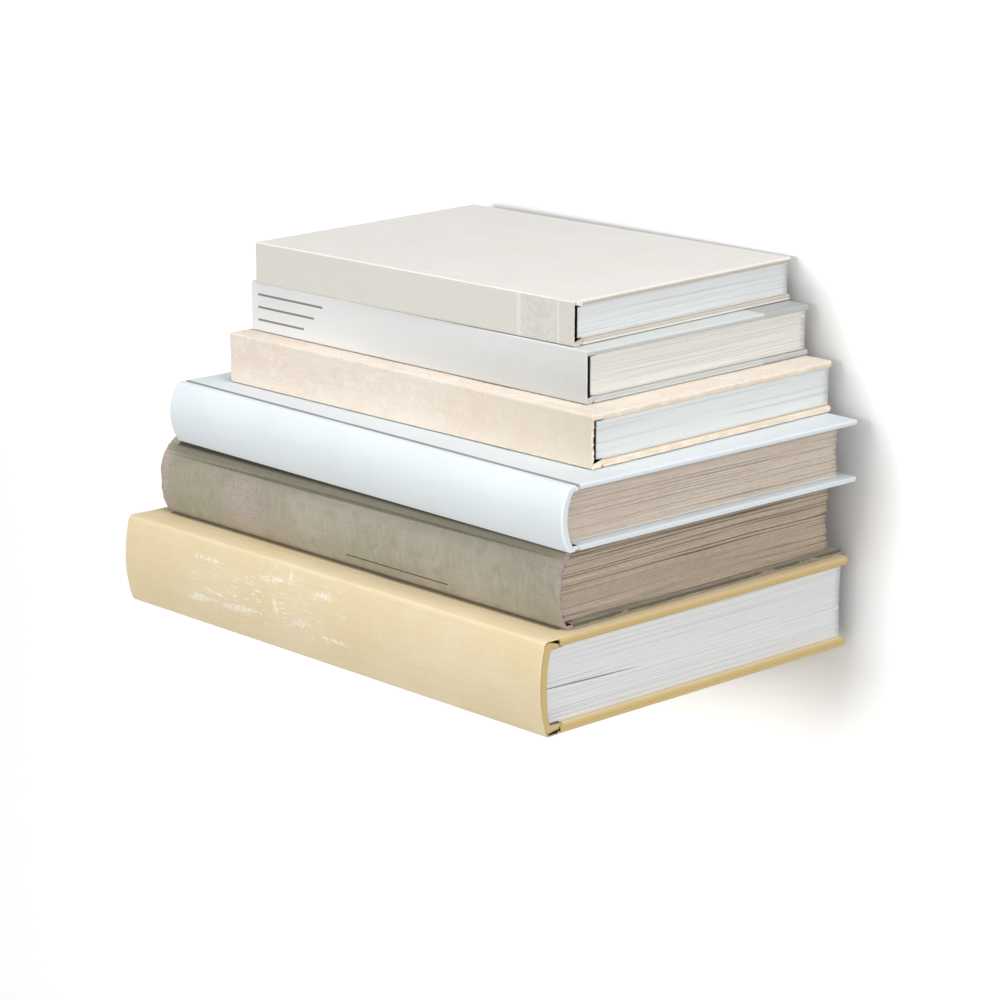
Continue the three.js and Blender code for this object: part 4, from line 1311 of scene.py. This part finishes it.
def zinc_plate():
    """Zinc-plated steel: the eye gets a bright bluish grey metal with a slightly cloudy polish."""
    plating = Finish("zinc_plated_steel", "#c3c7cb", flat=False)
    cloudy = clouds(plating, 1.5, 0.3, 0.7, seed=63)
    lay(plating, "#b4b5ae", cloudy, 0.6)
    return finished(plating, cloudy, 0.01, {"Roughness": 0.3, "Metallic": 1.0})


def wove_paper(name, sheet, aged):
    """Wove endpaper: the eye gets matt paper with a hint of fibres, a warm white or browned with age."""
    paper = Finish(name, sheet, flat=False)
    fibres = clouds(paper, 0.8, 0.25, 0.75, seed=64)
    lay(paper, aged, clouds(paper, 25, 0.4, 0.65, seed=65), 0.4)
    lay(paper, aged, fibres, 0.3)
    return finished(paper, fibres, 0.03, {"Roughness": 0.9, "Specular IOR Level": 0.3})


def glued_gauze():
    """Open cotton gauze set in glue: the eye gets beige threads over a darker ground."""
    gauze = Finish("gauze_lining_glued", "#b3a384", flat=False)
    upright = {"Vector": gauze.place, "Rotation": (math.pi / 2, 0, 0)}
    upright = add_node(gauze.tree, "ShaderNodeMapping", inputs=upright)
    weave = threads(gauze.tree, upright.outputs[0], 1.3)
    lay(gauze, "#ddd3bd", weave, 0.9)
    return finished(gauze, weave, 0.15, {"Roughness": 0.85})


# %% [markdown]
# Now every book is dressed from the CAD sizes, and each piece rides on its own book. The top book's cover
# opens, so its board rides on the cover's body, while its hinge cloth rides on no body, with its place
# baked into its mesh.

# %% Dress the books
# the open place is painted dark, as its shade
GAP_SHADE = ((178, 20.3), (38, 0.4), 2.0)  # middle, half size and tilt of the open place in the bottom leaves
COVERS = {
    "book_1": yellow_cloth(), "book_2": green_cloth(), "book_3": white_paper_cover(),
    "book_4": cream_cloth(), "book_5": grey_paper_cover(), "book_6": linen_cloth(),
}
PAPERS = {
    "book_1": leaf_edges("book_paper_cool_white", "#dcdddd", "#cfd0d1", "#a7a9ab", 0.2, 0.4, 3, GAP_SHADE),
    "book_2": leaf_edges("book_paper_brown_dark", "#c6b8a6", "#a19180", "#54463a", 0.55, 0.7, 5),
    "book_3": leaf_edges("book_paper_brown_pale", "#d5c9bd", "#b7a99a", "#75665a", 0.48, 0.55, 7),
    "book_4": leaf_edges("book_paper_clear_white", "#dfe2e1", "#d3d6d6", "#b3b6b6", 0.25, 0.4, 9),
    "book_5": leaf_edges("book_paper_warm_white", "#e2e0db", "#d3d1ca", "#b0aea8", 0.25, 0.4, 11),
    "book_6": leaf_edges("book_paper_bright_white", "#dfe1e2", "#d3d5d6", "#b3b5b7", 0.22, 0.4, 13),
}

pieces = {}
for name, book in books.items():
    cover = COVERS[name]
    dressed = [
        board_piece(book, "front", cover), board_piece(book, "back", cover), spine_cloth_piece(book, cover),
    ]
    if name == "book_1":
        dressed.append(turned_in_piece(book, cover))
    if name == "book_6":
        dressed.append(hinge_cloth_piece(book, cover))
    dressed.append(leaves_piece(book, PAPERS[name]))
    for piece in dressed:
        pieces[piece.name] = piece
        print(piece.name, "quads:", len(piece.data.polygons))

for name, piece in pieces.items():
    if name == "book_6_front_board":
        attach(piece, "top_front_cover")
    elif name == "book_6_front_hinge_cloth":
        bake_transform(piece)
    else:
        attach(piece, name[: len("book_1")])

# %% [markdown]
# The bracket, screws, gauze and endpapers keep their CAD shapes, which are right as they are, and get
# their finishes in their material slots.

# %% Dress the CAD pieces that stay
browned = wove_paper("endpaper_wove_browned", "#a2937f", "#8b7b68")
HIDDEN = {  # by the ending of a node's name, where a later row counts over an earlier one
    "shelf_bracket": powder_coat(), "screw": zinc_plate(), "lining": glued_gauze(),
    "pastedown": wove_paper("endpaper_wove_off_white", "#e9e5dc", "#dcd6c8"),
    "book_2_front_pastedown": browned, "book_2_back_pastedown": browned,
}
for node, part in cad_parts.items():
    for ending, material in HIDDEN.items():
        if node.endswith(ending):
            for material_slot in part.material_slots:
                material_slot.material = material

# %% Faces in all
print("faces in all:", sum(len(piece.data.polygons) for piece in pieces.values()))
